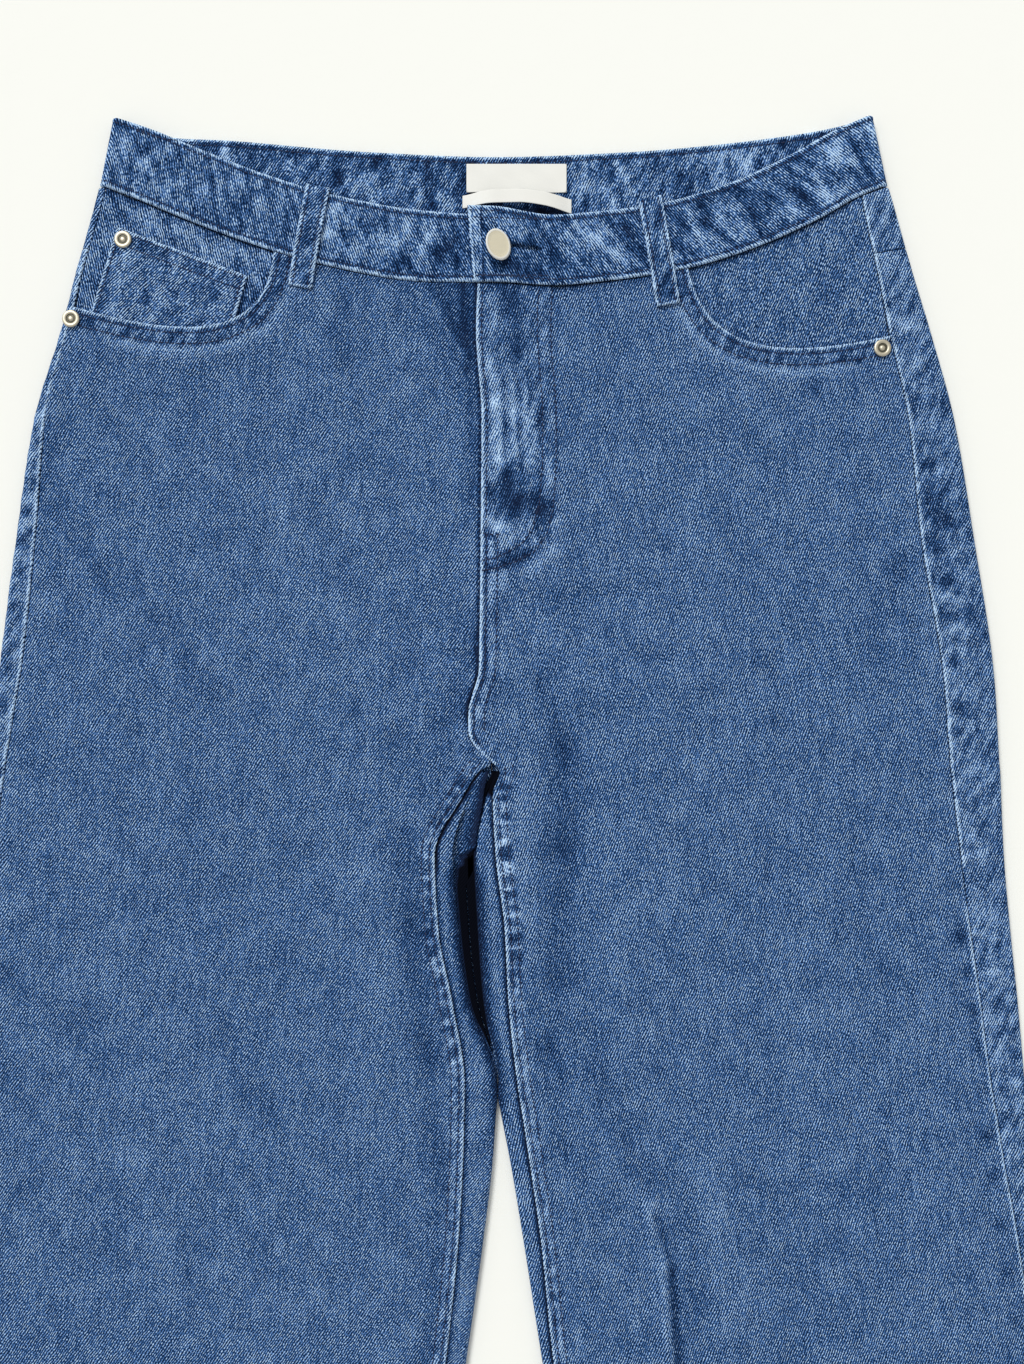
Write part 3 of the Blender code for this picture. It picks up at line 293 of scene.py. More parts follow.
def peak(value, middle, width):
    return np.exp(-((value - middle) / width) ** 2)


def follow(knots, values):
    # a smooth curve through its knots that never overshoots them
    order = np.argsort(knots)
    ks = np.array(knots, float)[order]
    vs = np.array(values, float)[order]
    chords = np.diff(vs) / np.diff(ks)
    total = chords[:-1] + chords[1:]
    together = chords[:-1] * chords[1:] > 0
    middle = np.where(together, 2 * chords[:-1] * chords[1:] / np.where(together, total, 1.0), 0.0)
    slopes = np.concatenate([chords[:1], middle, chords[-1:]])

    def value(k):
        k = np.clip(k, ks[0], ks[-1])
        i = np.clip(np.searchsorted(ks, k, side="left") - 1, 0, len(ks) - 2)
        step = ks[i + 1] - ks[i]
        t = (k - ks[i]) / step
        fromStart = (1 + 2 * t) * (1 - t) ** 2 * vs[i] + t * (1 - t) ** 2 * step * slopes[i]
        return fromStart + t * t * (3 - 2 * t) * vs[i + 1] + t * t * (t - 1) * step * slopes[i + 1]

    return value


def bezier(points, t):
    t = np.asarray(t, float)
    weights = ((1 - t) ** 3, 3 * (1 - t) ** 2 * t, 3 * (1 - t) * t * t, t ** 3)
    return tuple(sum(w * p[i] for w, p in zip(weights, points)) for i in range(2))


def foldHeight(x, y):
    height = np.zeros(np.shape(x))
    for f in folds:
        dx, dy = f.x1 - f.x0, f.y1 - f.y0
        length = math.hypot(dx, dy)
        along = ((x - f.x0) * dx + (y - f.y0) * dy) / length ** 2
        across = ((x - f.x0) * dy - (y - f.y0) * dx) / length
        taper = after(along, -0.2, 0.4) * before(along, 1.2, 0.4)
        height = height + f.height * taper * np.exp(-(across / f.width) ** 2)
    return height


def creaseSum(rows, x, y):
    # height and lightness of a list of creases at points: rubbed or unrubbed indigo and painted light and
    # shade
    height = np.zeros(np.shape(x))
    fade = np.zeros(np.shape(x))
    for c in rows:
        dx, dy = c.x1 - c.x0, c.y1 - c.y0
        square = max(dx * dx + dy * dy, 1e-6)
        t = np.clip(((x - c.x0) * dx + (y - c.y0) * dy) / square, 0.0, 1.0)
        gap = (x - c.x0 - t * dx) ** 2 + (y - c.y0 - t * dy) ** 2
        bell = np.exp(-gap / c.width ** 2)
        height = height + c.height * bell
        fade = fade + c.fade * bell
    return height, fade


def scatter(seed, count, box, length, width, angle, height, fade):
    # short ridges strewn over a box; each size is a (low, high) pair
    pick = random.Random(seed)
    rows = []
    for _ in range(count):
        x = pick.uniform(box[0], box[1])
        y = pick.uniform(box[2], box[3])
        turn = math.radians(pick.uniform(*angle))
        half = pick.uniform(*length) / 2
        sign = pick.choice((-1, 1))
        strength = pick.uniform(0.4, 1.0) * sign
        dx, dy = half * math.cos(turn), half * math.sin(turn)
        rows.append(Crease(x - dx, y - dy, x + dx, y + dy, pick.uniform(*width), height * strength,
                           fade * strength))
    return rows


def rungs(seed, length, pitch, reach, width, height, fade):
    # puckers across a seam, in steps along it: (along, away) creases of uneven pitch and strength
    pick = random.Random(seed)
    rows = []
    at = pick.uniform(0, pitch)
    while at < length:
        lean = pick.uniform(-0.35, 0.35) * (reach[1] - reach[0])
        strength = pick.uniform(0.35, 1.0)
        rows.append(Crease(at, reach[0], at + lean, reach[1] * pick.uniform(0.75, 1.0),
                           width * pick.uniform(0.7, 1.25),
                           height * strength, fade * strength))
        at += pitch * pick.uniform(0.6, 1.5)
    return rows


def topLevel(x, y):
    return lerp(cloth["legTop"], cloth["hipTop"], after(y, 150.0, 90.0)) + foldHeight(x, y)


def floorLevel(x, y):
    across = after(x, -236.0, 14.0) * before(x, 212.0, 14.0)
    return cloth["wall"] / 2 + cloth["padLift"] * across * after(y, 222.0, 22.0)


class Leg:
    # seams and folds of one side of the jeans as functions of y
    def __init__(self, levels, outward, lean):
        self.outward = outward
        self.lean = lean
        knots = [row.y for row in levels]
        self.outer = follow(knots, [row.outer for row in levels])
        self.side = follow(knots, [row.side for row in levels])
        self.centre = follow(knots, [row.centre for row in levels])
        self.back = follow(knots, [row.back for row in levels])
        lower = [row for row in levels if row.fold is not None]
        self.fold = follow([row.y for row in lower], [row.fold for row in lower])

    def place(self, line, y):
        turn = self.lean * before(y, 60.0, 240.0)
        middle = (self.outer(y) + self.fold(np.minimum(y, cut["slitFoot"]))) / 2
        crossing = y + turn * (line(y) - middle)
        return line(crossing), crossing


rightLeg = Leg(rightLevels, -1, -0.091)
leftLeg = Leg(leftLevels, 1, 0.124)


def bandCurves(rows):
    steps = range(len(rows))
    return [follow(steps, [row[i] for row in rows]) for i in range(5)]


def bandSections(rows, count):
    curves = bandCurves(rows)
    return [Band(*[float(c(k * (len(rows) - 1) / count)) for c in curves]) for k in range(count + 1)]


def bandFoot(section):
    lean = math.radians(section.lean)
    return section.x - section.width * math.sin(lean), section.y - section.width * math.cos(lean)


def seamCurve(sections):
    feet = np.array(sorted(bandFoot(section) for section in sections))
    return lambda x: np.interp(x, feet[:, 0], feet[:, 1]) - cloth["gap"]


seamRight = seamCurve(bandSections(bandRight, 16))
seamBack = seamCurve(bandSections(bandBack, 16))
seamLeft = seamCurve(bandSections(bandLeft, 24))


# meshes: a sheet of points becomes a closed thin wall with rounded edges
def borderOf(faces, count):
    pairs = np.concatenate([np.stack([f, np.roll(f, -1, axis=1)], 2).reshape(-1, 2) for f in faces])
    forward = pairs[:, 0] * count + pairs[:, 1]
    backward = pairs[:, 1] * count + pairs[:, 0]
    rim = pairs[~np.isin(forward, backward)]
    border = np.zeros(count, bool)
    border[rim.ravel()] = True
    return border, pairs


def vertexNormals(points, faces):
    total = np.zeros_like(points)
    for f in faces:
        corners = points[f]
        if f.shape[1] == 4:
            face = np.cross(corners[:, 2] - corners[:, 0], corners[:, 3] - corners[:, 1])
        else:
            face = np.cross(corners[:, 1] - corners[:, 0], corners[:, 2] - corners[:, 0])
        for k in range(f.shape[1]):
            np.add.at(total, f[:, k], face)
    return total / np.maximum(np.linalg.norm(total, axis=1, keepdims=True), 1e-9)


def thinWall(name, points, faces, thick, grain, edge, fade, mottle, material, rounding=0.7, lift=None,
             normals=None):
    # points lie in the wall's middle; faces is a list of index arrays with three or four columns
    points = np.asarray(points, float)
    count = len(points)
    thick = np.broadcast_to(np.asarray(thick, float), (count,))
    border, pairs = borderOf(faces, count)
    gap = np.where(border, 0.0, 1e6)
    length = np.linalg.norm(points[pairs[:, 0]] - points[pairs[:, 1]], axis=1)
    for _ in range(5):
        np.minimum.at(gap, pairs[:, 0], gap[pairs[:, 1]] + length)
        np.minimum.at(gap, pairs[:, 1], gap[pairs[:, 0]] + length)
    share = np.sqrt(1 - (1 - np.clip(gap / rounding, 0, 1)) ** 2)
    if normals is None:
        normals = vertexNormals(points, faces)
    if lift is not None:
        points = points + normals * lift[:, None]
    step = normals * (thick / 2 * share)[:, None]
    inside = np.where(border, np.arange(count), 0)
    inside[~border] = count + np.arange((~border).sum())
    corners = np.concatenate([points + step, (points - step)[~border]])
    source = np.concatenate([np.arange(count), np.arange(count)[~border]])
    sheets = []
    for f in faces:
        f = f[~border[f].all(axis=1)]
        sheets += [f, inside[f][:, ::-1]]
    mesh = bpy.data.meshes.new(name)
    sizes = np.concatenate([np.full(len(s), s.shape[1]) for s in sheets])
    loops = np.concatenate([s.ravel() for s in sheets])
    mesh.vertices.add(len(corners))
    mesh.vertices.foreach_set("co", (corners * scale).ravel())
    mesh.loops.add(len(loops))
    mesh.loops.foreach_set("vertex_index", loops.astype(np.int32))
    mesh.polygons.add(len(sizes))
    mesh.polygons.foreach_set("loop_start", np.concatenate([[0], np.cumsum(sizes)[:-1]]).astype(np.int32))
    mesh.polygons.foreach_set("loop_total", sizes.astype(np.int32))
    mesh.update(calc_edges=True)
    layer = mesh.uv_layers.new(name="grain")
    layer.data.foreach_set("uv", (np.asarray(grain)[source][loops] * scale).ravel())
    for label, values in (("edge", edge), ("fade", fade), ("mottle", mottle)):
        values = np.broadcast_to(np.asarray(values, float), (count,))
        mesh.attributes.new(label, "FLOAT", "POINT").data.foreach_set("value", values[source])
    mesh.materials.append(material)
    mesh.shade_smooth()
    piece = bpy.data.objects.new(name, mesh)
    bpy.context.collection.objects.link(piece)
    return piece


def wear(piece, nodes):
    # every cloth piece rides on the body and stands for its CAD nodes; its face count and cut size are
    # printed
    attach(piece, body)
    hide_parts(*nodes)
    uv = np.empty(len(piece.data.loops) * 2)
    piece.data.uv_layers["grain"].data.foreach_get("uv", uv)
    width, length = np.ptp(uv.reshape(-1, 2), axis=0)
    width, length = max(width, 0.0101), max(length, 0.0101)
    print(piece.name, "faces", len(piece.data.polygons), "cut mm", round(width * 1000), round(length * 1000))


# flat panels: an outline of named edges, filled with rings along the edges and a field of points
def resample(line, fine, coarse):
    line = np.asarray(line, float)
    gaps = np.hypot(*np.diff(line, axis=0).T)
    middle = (line[1:, 1] + line[:-1, 1]) / 2
    weight = np.concatenate([[0], np.cumsum(gaps / np.where(middle > cut["frameFoot"], fine, coarse))])
    marks = np.linspace(0, weight[-1], max(int(round(weight[-1])), 1) + 1)
    return np.stack([np.interp(marks, weight, line[:, i]) for i in (0, 1)], 1)


def awayFrom(points, line):
    # distance to a line, and how far along it the nearest place is
    span = np.diff(line, axis=0)
    size = np.maximum(np.hypot(span[:, 0], span[:, 1]), 1e-6)
    runs = np.concatenate([[0], np.cumsum(size)])
    best = np.full(len(points), 1e9)
    along = np.zeros(len(points))
    for k in range(len(span)):
        offset = points - line[k]
        t = np.clip((offset @ span[k]) / size[k] ** 2, 0, 1)
        gap = np.hypot(offset[:, 0] - t * span[k, 0], offset[:, 1] - t * span[k, 1])
        nearer = gap < best
        best[nearer] = gap[nearer]
        along[nearer] = runs[k] + t[nearer] * size[k]
    return best, along


def inOutline(points, line):
    inside = np.zeros(len(points), bool)
    for a, b in zip(line, np.roll(line, -1, axis=0)):
        if a[1] == b[1]:
            continue
        straddles = (a[1] > points[:, 1]) != (b[1] > points[:, 1])
        crossing = a[0] + (points[:, 1] - a[1]) * (b[0] - a[0]) / (b[1] - a[1])
        inside ^= straddles & (points[:, 0] < crossing)
    return inside


upward = np.array([0.0, 0.0, 1.0])
noEdge = 30.0  # an edge distance that gets no wear
noSeam = 60.0  # marks rows with no seam on that side


def gridQuads(rows, columns):
    return np.array([(r * columns + c, r * columns + c + 1, (r + 1) * columns + c + 1, (r + 1) * columns + c)
                     for r in range(rows - 1) for c in range(columns - 1)])


def closedEdges(outline):
    corners = [np.array(p, float) for p in outline]
    ahead = corners[1:] + corners[:1]
    return [("edge" + str(k), np.stack(pair)) for k, pair in enumerate(zip(corners, ahead))]


ringDepths = [0.12, 0.35, 0.7, 1.25, 1.9, 2.6, 3.4, 4.4, 5.6, 7.0, 8.6, 10.4, 12.6]


class Panel:
    # a flat cut with named edges, in plan
    def __init__(self, edges, fine=1.8, cell=3.0, rings=None, coarse=6.0):
        rings = ringDepths if rings is None else rings
        self.edges = {label: resample(line, 3.0, 8.0) for label, line in edges}
        outline = np.concatenate([resample(line, fine, coarse)[:-1] for _, line in edges])
        rough = np.concatenate([line[:-1] for line in self.edges.values()])
        ahead = np.roll(outline, -1, axis=0)
        if np.sum(outline[:, 0] * ahead[:, 1] - ahead[:, 0] * outline[:, 1]) < 0:
            outline = outline[::-1]
        ahead = np.roll(outline, -1, axis=0) - np.roll(outline, 1, axis=0)
        ahead /= np.maximum(np.hypot(ahead[:, 0], ahead[:, 1]), 1e-6)[:, None]
        inward = np.stack([-ahead[:, 1], ahead[:, 0]], 1)
        closed = np.concatenate([rough, rough[:1]])
        found = [outline]
        for k, depth in enumerate(rings):
            base = outline if k < 7 else outline[k % 2::2] if depth > 6 else outline
            ring = base + inward[k % 2::2] * depth if len(base) != len(outline) else base + inward * depth
            away, _ = awayFrom(ring, closed)
            found.append(ring[(away > 0.9 * depth) & inOutline(ring, rough)])
        low, high = outline.min(axis=0), outline.max(axis=0)
        field = []
        for size, foot, head in ((cell, cut["frameFoot"], high[1]), (coarse * 1.3, low[1], cut["frameFoot"])):
            foot, head = max(foot, low[1]), min(head, high[1])
            if foot >= head:
                continue
            ys = np.arange(foot + size / 2, head, size * 0.87)
            xs = np.arange(low[0], high[0], size)
            field.append(np.stack([np.add.outer((np.arange(len(ys)) % 2) * size / 2, xs).ravel(),
                                   np.repeat(ys, len(xs))], 1))
        field = np.concatenate(field)
        field = field[inOutline(field, rough)]
        away, _ = awayFrom(field, closed)
        found.append(field[away > rings[-1] + cell * 0.6])
        points = np.concatenate(found)
        ring = len(outline)
        border = [(k, (k + 1) % ring) for k in range(ring)]
        result = geometry.delaunay_2d_cdt([Vector(p) for p in points], border,
                                          [], 1, 1e-4, False)
        self.points = np.array([(v.x, v.y) for v in result[0]])
        faces = np.array([f for f in result[2] if len(f) == 3])
        self.faces = faces[inOutline(self.points[faces].mean(axis=1), outline)]
        self.found = {}

    def away(self, label):
        if label not in self.found:
            self.found[label] = awayFrom(self.points, self.edges[label])
        return self.found[label]


def rope(d, height=0.45, width=0.9):
    # the rolled edge of a seam, which stands a little proud
    return height * np.exp(-((d - width) / width) ** 2)


def groove(d, row, depth=0.14):
    return -depth * np.exp(-((d - row) / 0.55) ** 2)


def flatGrain(points, warp):
    # cloth coordinates of flat points whose warp runs at an angle in degrees
    c, s = math.cos(math.radians(warp)), math.sin(math.radians(warp))
    return np.stack([points[:, 0] * s - points[:, 1] * c, points[:, 0] * c + points[:, 1] * s], 1)


# shader groups
def socketOf(tree, value, target):
    if isinstance(value, bpy.types.NodeSocket):
        tree.links.new(value, target)
    else:
        target.default_value = value


def sums(tree, operation, a, b=0.0, c=0.0, clamp=False):
    n = tree.nodes.new("ShaderNodeMath")
    n.operation = operation
    n.use_clamp = clamp
    for value, target in zip((a, b, c), n.inputs):
        socketOf(tree, value, target)
    return n.outputs[0]


def fall(tree, value, fromLow, fromHigh, toLow, toHigh):
    n = tree.nodes.new("ShaderNodeMapRange")
    n.interpolation_type = "SMOOTHSTEP"
    socketOf(tree, value, n.inputs["Value"])
    for label, number in (("From Min", fromLow), ("From Max", fromHigh), ("To Min", toLow),
                          ("To Max", toHigh)):
        socketOf(tree, number, n.inputs[label])
    return n.outputs["Result"]


def noise(tree, vector, size, detail=0.0, rough=0.5):
    n = tree.nodes.new("ShaderNodeTexNoise")
    n.inputs["Scale"].default_value = size
    n.inputs["Detail"].default_value = detail
    n.inputs["Roughness"].default_value = rough
    tree.links.new(vector, n.inputs["Vector"])
    return n.outputs[0]


def joined(tree, x, y, z=0.0):
    n = tree.nodes.new("ShaderNodeCombineXYZ")
    for value, target in zip((x, y, z), n.inputs):
        socketOf(tree, value, target)
    return n.outputs[0]


def newGroup(name, inputs, outputs):
    tree = bpy.data.node_groups.new(name, "ShaderNodeTree")
    for label, kind, value in inputs:
        socket = tree.interface.new_socket(name=label, in_out="INPUT", socket_type=kind)
        if value is not None:
            socket.default_value = value
    for label, kind in outputs:
        tree.interface.new_socket(name=label, in_out="OUTPUT", socket_type=kind)
    return tree, tree.nodes.new("NodeGroupInput"), tree.nodes.new("NodeGroupOutput")


twillSizes = {"lineSpacing": 1.27, "lineAngle": 60.0}


def twillGroup():
    # Lightness of each spot of a right-hand twill, and the height of its lines. Grain is in metres.
    tree, given, out = newGroup("twillWeave", [
        ("Grain", "NodeSocketVector", None), ("Lines", "NodeSocketFloat", 0.1),
        ("Flecks", "NodeSocketFloat", 1.0),
        ("Streaks", "NodeSocketFloat", 0.3), ("Clouds", "NodeSocketFloat", 0.2),
        ("Mottle", "NodeSocketFloat", 0.2),
        ("Fineness", "NodeSocketFloat", 1.0), ("Tone", "NodeSocketFloat", 0.37)],
        [("Lightness", "NodeSocketFloat"), ("Height", "NodeSocketFloat")])
    split = tree.nodes.new("ShaderNodeSeparateXYZ")
    tree.links.new(given.outputs["Grain"], split.inputs[0])
    u = sums(tree, "MULTIPLY", split.outputs[0], 1000.0)
    v = sums(tree, "MULTIPLY", split.outputs[1], 1000.0)
    s, c = math.sin(math.radians(twillSizes["lineAngle"])), math.cos(math.radians(twillSizes["lineAngle"]))
    across = sums(tree, "SUBTRACT", sums(tree, "MULTIPLY", u, s), sums(tree, "MULTIPLY", v, c))
    along = sums(tree, "ADD", sums(tree, "MULTIPLY", u, c), sums(tree, "MULTIPLY", v, s))
    wobble = noise(tree, joined(tree, u, v), 0.16)
    phase = sums(tree, "MULTIPLY_ADD", across, 1.0 / twillSizes["lineSpacing"],
                 sums(tree, "MULTIPLY", wobble, 1.1))
    wave = sums(tree, "SINE", sums(tree, "MULTIPLY", phase, 2 * math.pi))
    fine = given.outputs["Fineness"]
    fleck = noise(tree, joined(tree, sums(tree, "MULTIPLY", across, sums(tree, "MULTIPLY", fine, 2.6)),
                               sums(tree, "MULTIPLY", along, fine)), 1.0)
    streak = noise(tree, joined(tree, sums(tree, "MULTIPLY", u, 0.85), sums(tree, "MULTIPLY", v, 0.05), 7.0),
                   1.0)
    cloud = noise(tree, joined(tree, u, v, 3.0), 0.055, 3.0, 0.65)
    mottle = noise(tree, joined(tree, sums(tree, "MULTIPLY", across, 0.26),
                                sums(tree, "MULTIPLY", along, 0.075), 5.0),
                   1.0, 2.0, 0.6)
    total = sums(tree, "MULTIPLY", wave, given.outputs["Lines"])
    for value, amount in ((fleck, "Flecks"), (streak, "Streaks"), (cloud, "Clouds"), (mottle, "Mottle")):
        centred = sums(tree, "SUBTRACT", value, 0.5)
        total = sums(tree, "MULTIPLY_ADD", centred, given.outputs[amount], total)
    tree.links.new(sums(tree, "ADD", total, given.outputs["Tone"]), out.inputs["Lightness"])
    height = sums(tree, "MULTIPLY_ADD", wave, 0.5, fleck)
    tree.links.new(height, out.inputs["Height"])
    return tree


def fadeAndShadeGroup():
    # Rubbing of the indigo: rolled edges turn light, folds and spots follow the Fade value, which carries
    # rubbed and unrubbed indigo as well as painted light and painted shade.
    tree, given, out = newGroup("indigoFadeAndShade", [
        ("Lightness", "NodeSocketFloat", 0.5), ("Grain", "NodeSocketVector", None),
        ("Edge", "NodeSocketFloat", 30.0),
        ("Fade", "NodeSocketFloat", 0.0), ("Edge Strength", "NodeSocketFloat", 0.5),
        ("Fade Strength", "NodeSocketFloat", 0.4)],
        [("Lightness", "NodeSocketFloat"), ("Rubbed", "NodeSocketFloat")])
    split = tree.nodes.new("ShaderNodeVectorMath")
    split.operation = "SCALE"
    split.inputs["Scale"].default_value = 1000.0
    tree.links.new(given.outputs["Grain"], split.inputs[0])
    uneven = noise(tree, split.outputs[0], 0.35, 2.0, 0.6)
    width = fall(tree, uneven, 0.25, 0.75, 1.5, 2.7)
    line = fall(tree, given.outputs["Edge"], 0.6, width, 1.0, 0.0)
    line = sums(tree, "MULTIPLY", line, fall(tree, uneven, 0.2, 0.62, 0.45, 1.0))
    twist = sums(tree, "MULTIPLY_ADD", given.outputs["Lightness"], 1.3, 0.5)
    rubbed = sums(tree, "MULTIPLY", line, sums(tree, "MULTIPLY", twist, given.outputs["Edge Strength"]))
    broken = sums(tree, "MULTIPLY", given.outputs["Fade"], fall(tree, uneven, 0.2, 0.8, 0.6, 1.4))
    total = sums(tree, "MULTIPLY_ADD", broken, given.outputs["Fade Strength"],
                 sums(tree, "ADD", given.outputs["Lightness"], rubbed))
    tree.links.new(total, out.inputs["Lightness"])
    tree.links.new(line, out.inputs["Rubbed"])
    return tree


twill = twillGroup()
indigoFadeAndShade = fadeAndShadeGroup()


def srgb(r, g, b):
    # a colour given as a screen shows it
    values = []
    for value in (r, g, b):
        value /= 255.0
        values.append(value / 12.92 if value <= 0.04045 else ((value + 0.055) / 1.055) ** 2.4)
    return (*values, 1.0)


indigo = [(0.0, srgb(9, 27, 57)), (0.18, srgb(23, 51, 90)), (0.5, srgb(54, 93, 145)),
          (0.78, srgb(108, 149, 209)), (1.0, srgb(197, 227, 255))]


# darker colours for strongly negative fade: unrubbed indigo and painted shade, then painted shade near black
# for the valley between the legs
unrubbedAndShadeColour = (34, 42, 66)
shadeColour = (6, 7, 13)


def denimMaterial(name, lines=0.42, flecks=1.75, streaks=0.3, clouds=0.32, mottle=1.5, fineness=0.92,
                  tone=0.374, edges=0.55, fadeAndShadeAmount=0.42, bump=0.22):
    material = bpy.data.materials.new(name)
    material.use_nodes = True
    tree = material.node_tree
    shader = tree.nodes["Principled BSDF"]
    grain = tree.nodes.new("ShaderNodeUVMap")
    grain.uv_map = "grain"
    weave = tree.nodes.new("ShaderNodeGroup")
    weave.node_tree = twill
    tree.links.new(grain.outputs[0], weave.inputs["Grain"])
    for label, value in (("Lines", lines), ("Flecks", flecks), ("Streaks", streaks), ("Clouds", clouds),
                         ("Fineness", fineness), ("Tone", tone)):
        weave.inputs[label].default_value = value
    rub = tree.nodes.new("ShaderNodeGroup")
    rub.node_tree = indigoFadeAndShade
    tree.links.new(grain.outputs[0], rub.inputs["Grain"])
    tree.links.new(weave.outputs["Lightness"], rub.inputs["Lightness"])
    for label in ("edge", "fade", "mottle"):
        reader = tree.nodes.new("ShaderNodeAttribute")
        reader.attribute_name = label
        if label == "mottle":
            tree.links.new(sums(tree, "MULTIPLY", reader.outputs["Fac"], mottle), weave.inputs["Mottle"])
        else:
            tree.links.new(reader.outputs["Fac"], rub.inputs[label.capitalize()])
    rub.inputs["Edge Strength"].default_value = edges
    rub.inputs["Fade Strength"].default_value = fadeAndShadeAmount
    ramp = tree.nodes.new("ShaderNodeValToRGB")
    while len(ramp.color_ramp.elements) < len(indigo):
        ramp.color_ramp.elements.new(0.5)
    for element, (place, colour) in zip(ramp.color_ramp.elements, indigo):
        element.position = place
        element.color = colour
    tree.links.new(rub.outputs["Lightness"], ramp.inputs[0])
    dye = ramp.outputs[0]
    # painted shade: strongly negative fade values mix in the darker colours
    for colour, start, end, most in ((unrubbedAndShadeColour, -0.45, -1.5, 0.5), (shadeColour, -1.5, -2.7, 0.95)):
        mix = tree.nodes.new("ShaderNodeMixRGB")
        mix.inputs[2].default_value = srgb(*colour)
        darkness = fall(tree, rub.inputs["Fade"].links[0].from_socket, start, end, 0.0, most)
        tree.links.new(darkness, mix.inputs[0])
        tree.links.new(dye, mix.inputs[1])
        dye = mix.outputs[0]
    tree.links.new(dye, shader.inputs["Base Color"])
    tree.links.new(fall(tree, rub.outputs["Rubbed"], 0.0, 1.0, 0.92, 0.8), shader.inputs["Roughness"])
    relief = tree.nodes.new("ShaderNodeBump")
    relief.inputs["Strength"].default_value = 1.0
    relief.inputs["Distance"].default_value = bump * scale
    tree.links.new(weave.outputs["Height"], relief.inputs["Height"])
    tree.links.new(relief.outputs[0], shader.inputs["Normal"])
    shader.inputs["Specular IOR Level"].default_value = 0.03
    return material


denim = denimMaterial("denim")
bandDenim = denimMaterial("bandDenim", lines=0.36, flecks=1.7, fineness=0.7, tone=0.41, bump=0.3)
pocketDenim = denimMaterial("pocketDenim", flecks=1.8, fineness=0.72, tone=0.4, bump=0.3)


def plainMaterial(name, colour, roughness, metallic=0.0, grainSize=0.0, grainDepth=0.0, spread=0.06):
    # one colour with a fine uneven grain in its tone, roughness and surface
    material = bpy.data.materials.new(name)
    material.use_nodes = True
    tree = material.node_tree
    shader = tree.nodes["Principled BSDF"]
    shader.inputs["Metallic"].default_value = metallic
    place = tree.nodes.new("ShaderNodeTexCoord")
    value = noise(tree, place.outputs["Object"], grainSize, 3.0, 0.6)
    tone = tree.nodes.new("ShaderNodeMixRGB")
    tone.inputs[1].default_value = tuple(c * (1 - spread) for c in colour[:3]) + (1.0,)
    tone.inputs[2].default_value = tuple(min(c * (1 + spread), 1.0) for c in colour[:3]) + (1.0,)
    tree.links.new(value, tone.inputs[0])
    tree.links.new(tone.outputs[0], shader.inputs["Base Color"])
    tree.links.new(fall(tree, value, 0.2, 0.8, roughness - 0.05, roughness + 0.05),
                   shader.inputs["Roughness"])
    relief = tree.nodes.new("ShaderNodeBump")
    relief.inputs["Distance"].default_value = grainDepth
    tree.links.new(value, relief.inputs["Height"])
    tree.links.new(relief.outputs[0], shader.inputs["Normal"])
    return material


metal = plainMaterial("satinMetal", srgb(208, 201, 181), 0.5, 1.0, 900.0, 0.00002)
buttonMetal = plainMaterial("buttonMetal", srgb(248, 239, 211), 0.45, 0.2, 900.0, 0.00002, 0.02)
# painted highlight: the button's rim is a lighter copy of its metal
buttonRimHighlight = plainMaterial("buttonRimHighlight", srgb(255, 253, 244), 0.3, 0.1, 900.0, 0.00002, 0.01)
darkMetal = plainMaterial("rivetGroove", srgb(92, 90, 78), 0.5, 0.8, 900.0, 0.00002)
thread = plainMaterial("threadIndigo", srgb(26, 38, 72), 0.8, 0.0, 2500.0, 0.00008, 0.25)
labelWeave = plainMaterial("labelWeave", srgb(238, 238, 232), 0.75, 0.0, 1400.0, 0.00006, 0.03)
print("materials built")


# rows of sewing: how far each lies from its edge or seam
sewing = {
    "mouth": (3.4, 9.2), "inseam": (3.2, 7.4), "fly": 3.0, "hem": 11.0, "band": 2.9, "bandInside": 3.6,
    "coinHead": (2.2, 8.6), "coinSide": 2.4, "loop": 4.1, "yoke": (2.6, 8.8), "centreBack": 2.6,
    "pocketSides": (3.0, 9.0), "pocketTop": (3.0, 14.0),
}


# front panels
def flyLine(leg, lap):
    top = {-1: seamRight, 1: seamLeft}[leg.outward]
    ys = np.linspace(452.0, cut["hemY"], 900)
    lapped = ease((ys - cloth["flyFoot"]) / 24.0)
    x, y = leg.place(leg.centre, ys)
    x = x + lap * lapped + (1 - lapped) * leg.outward * cloth["gap"] / 2
    keep = y < top(x) - 0.4
    return np.stack([np.concatenate([x[keep][:1], x[keep]]), np.concatenate([[top(x[keep][0])], y[keep]])], 1)


def sideLine(leg, opening):
    ys = np.linspace(cut["hemY"], opening[3][1] - 0.8, 900)
    x, y = leg.place(leg.side, ys)
    keep = y <= opening[3][1] - 0.8
    return np.stack([x[keep] - leg.outward * cloth["gap"] / 2, y[keep]], 1)


# rows of sewing on the fly: distance from the fly's edge along y
flyCurves = {
    "outer": [(1.8, 293.2), (9.0, 294.6), (19.8, 298.2), (29.7, 303.8), (36.3, 313.0), (39.6, 326.7),
              (41.0, 350.0),
              (41.0, 446.0)],
    "inner": [(1.8, 298.8), (8.0, 300.0), (14.3, 303.0), (22.5, 307.5), (28.4, 315.7), (32.0, 330.0),
              (33.6, 350.0),
              (33.6, 446.0)],
    "tack": [(2.0, 313.2), (9.4, 312.8)],
    "firstCrotch": [(3.4, 312.0), (3.4, 198.0)],
    "secondCrotch": [(9.4, 312.0), (9.2, 206.0)],
}


def flyRows():
    rows = []
    for points in flyCurves.values():
        line = resample(np.array(points), 1.5, 1.5)
        x, _ = leftLeg.place(leftLeg.centre, line[:, 1])
        rows.append(np.stack([x + line[:, 0], line[:, 1]], 1))
    return rows


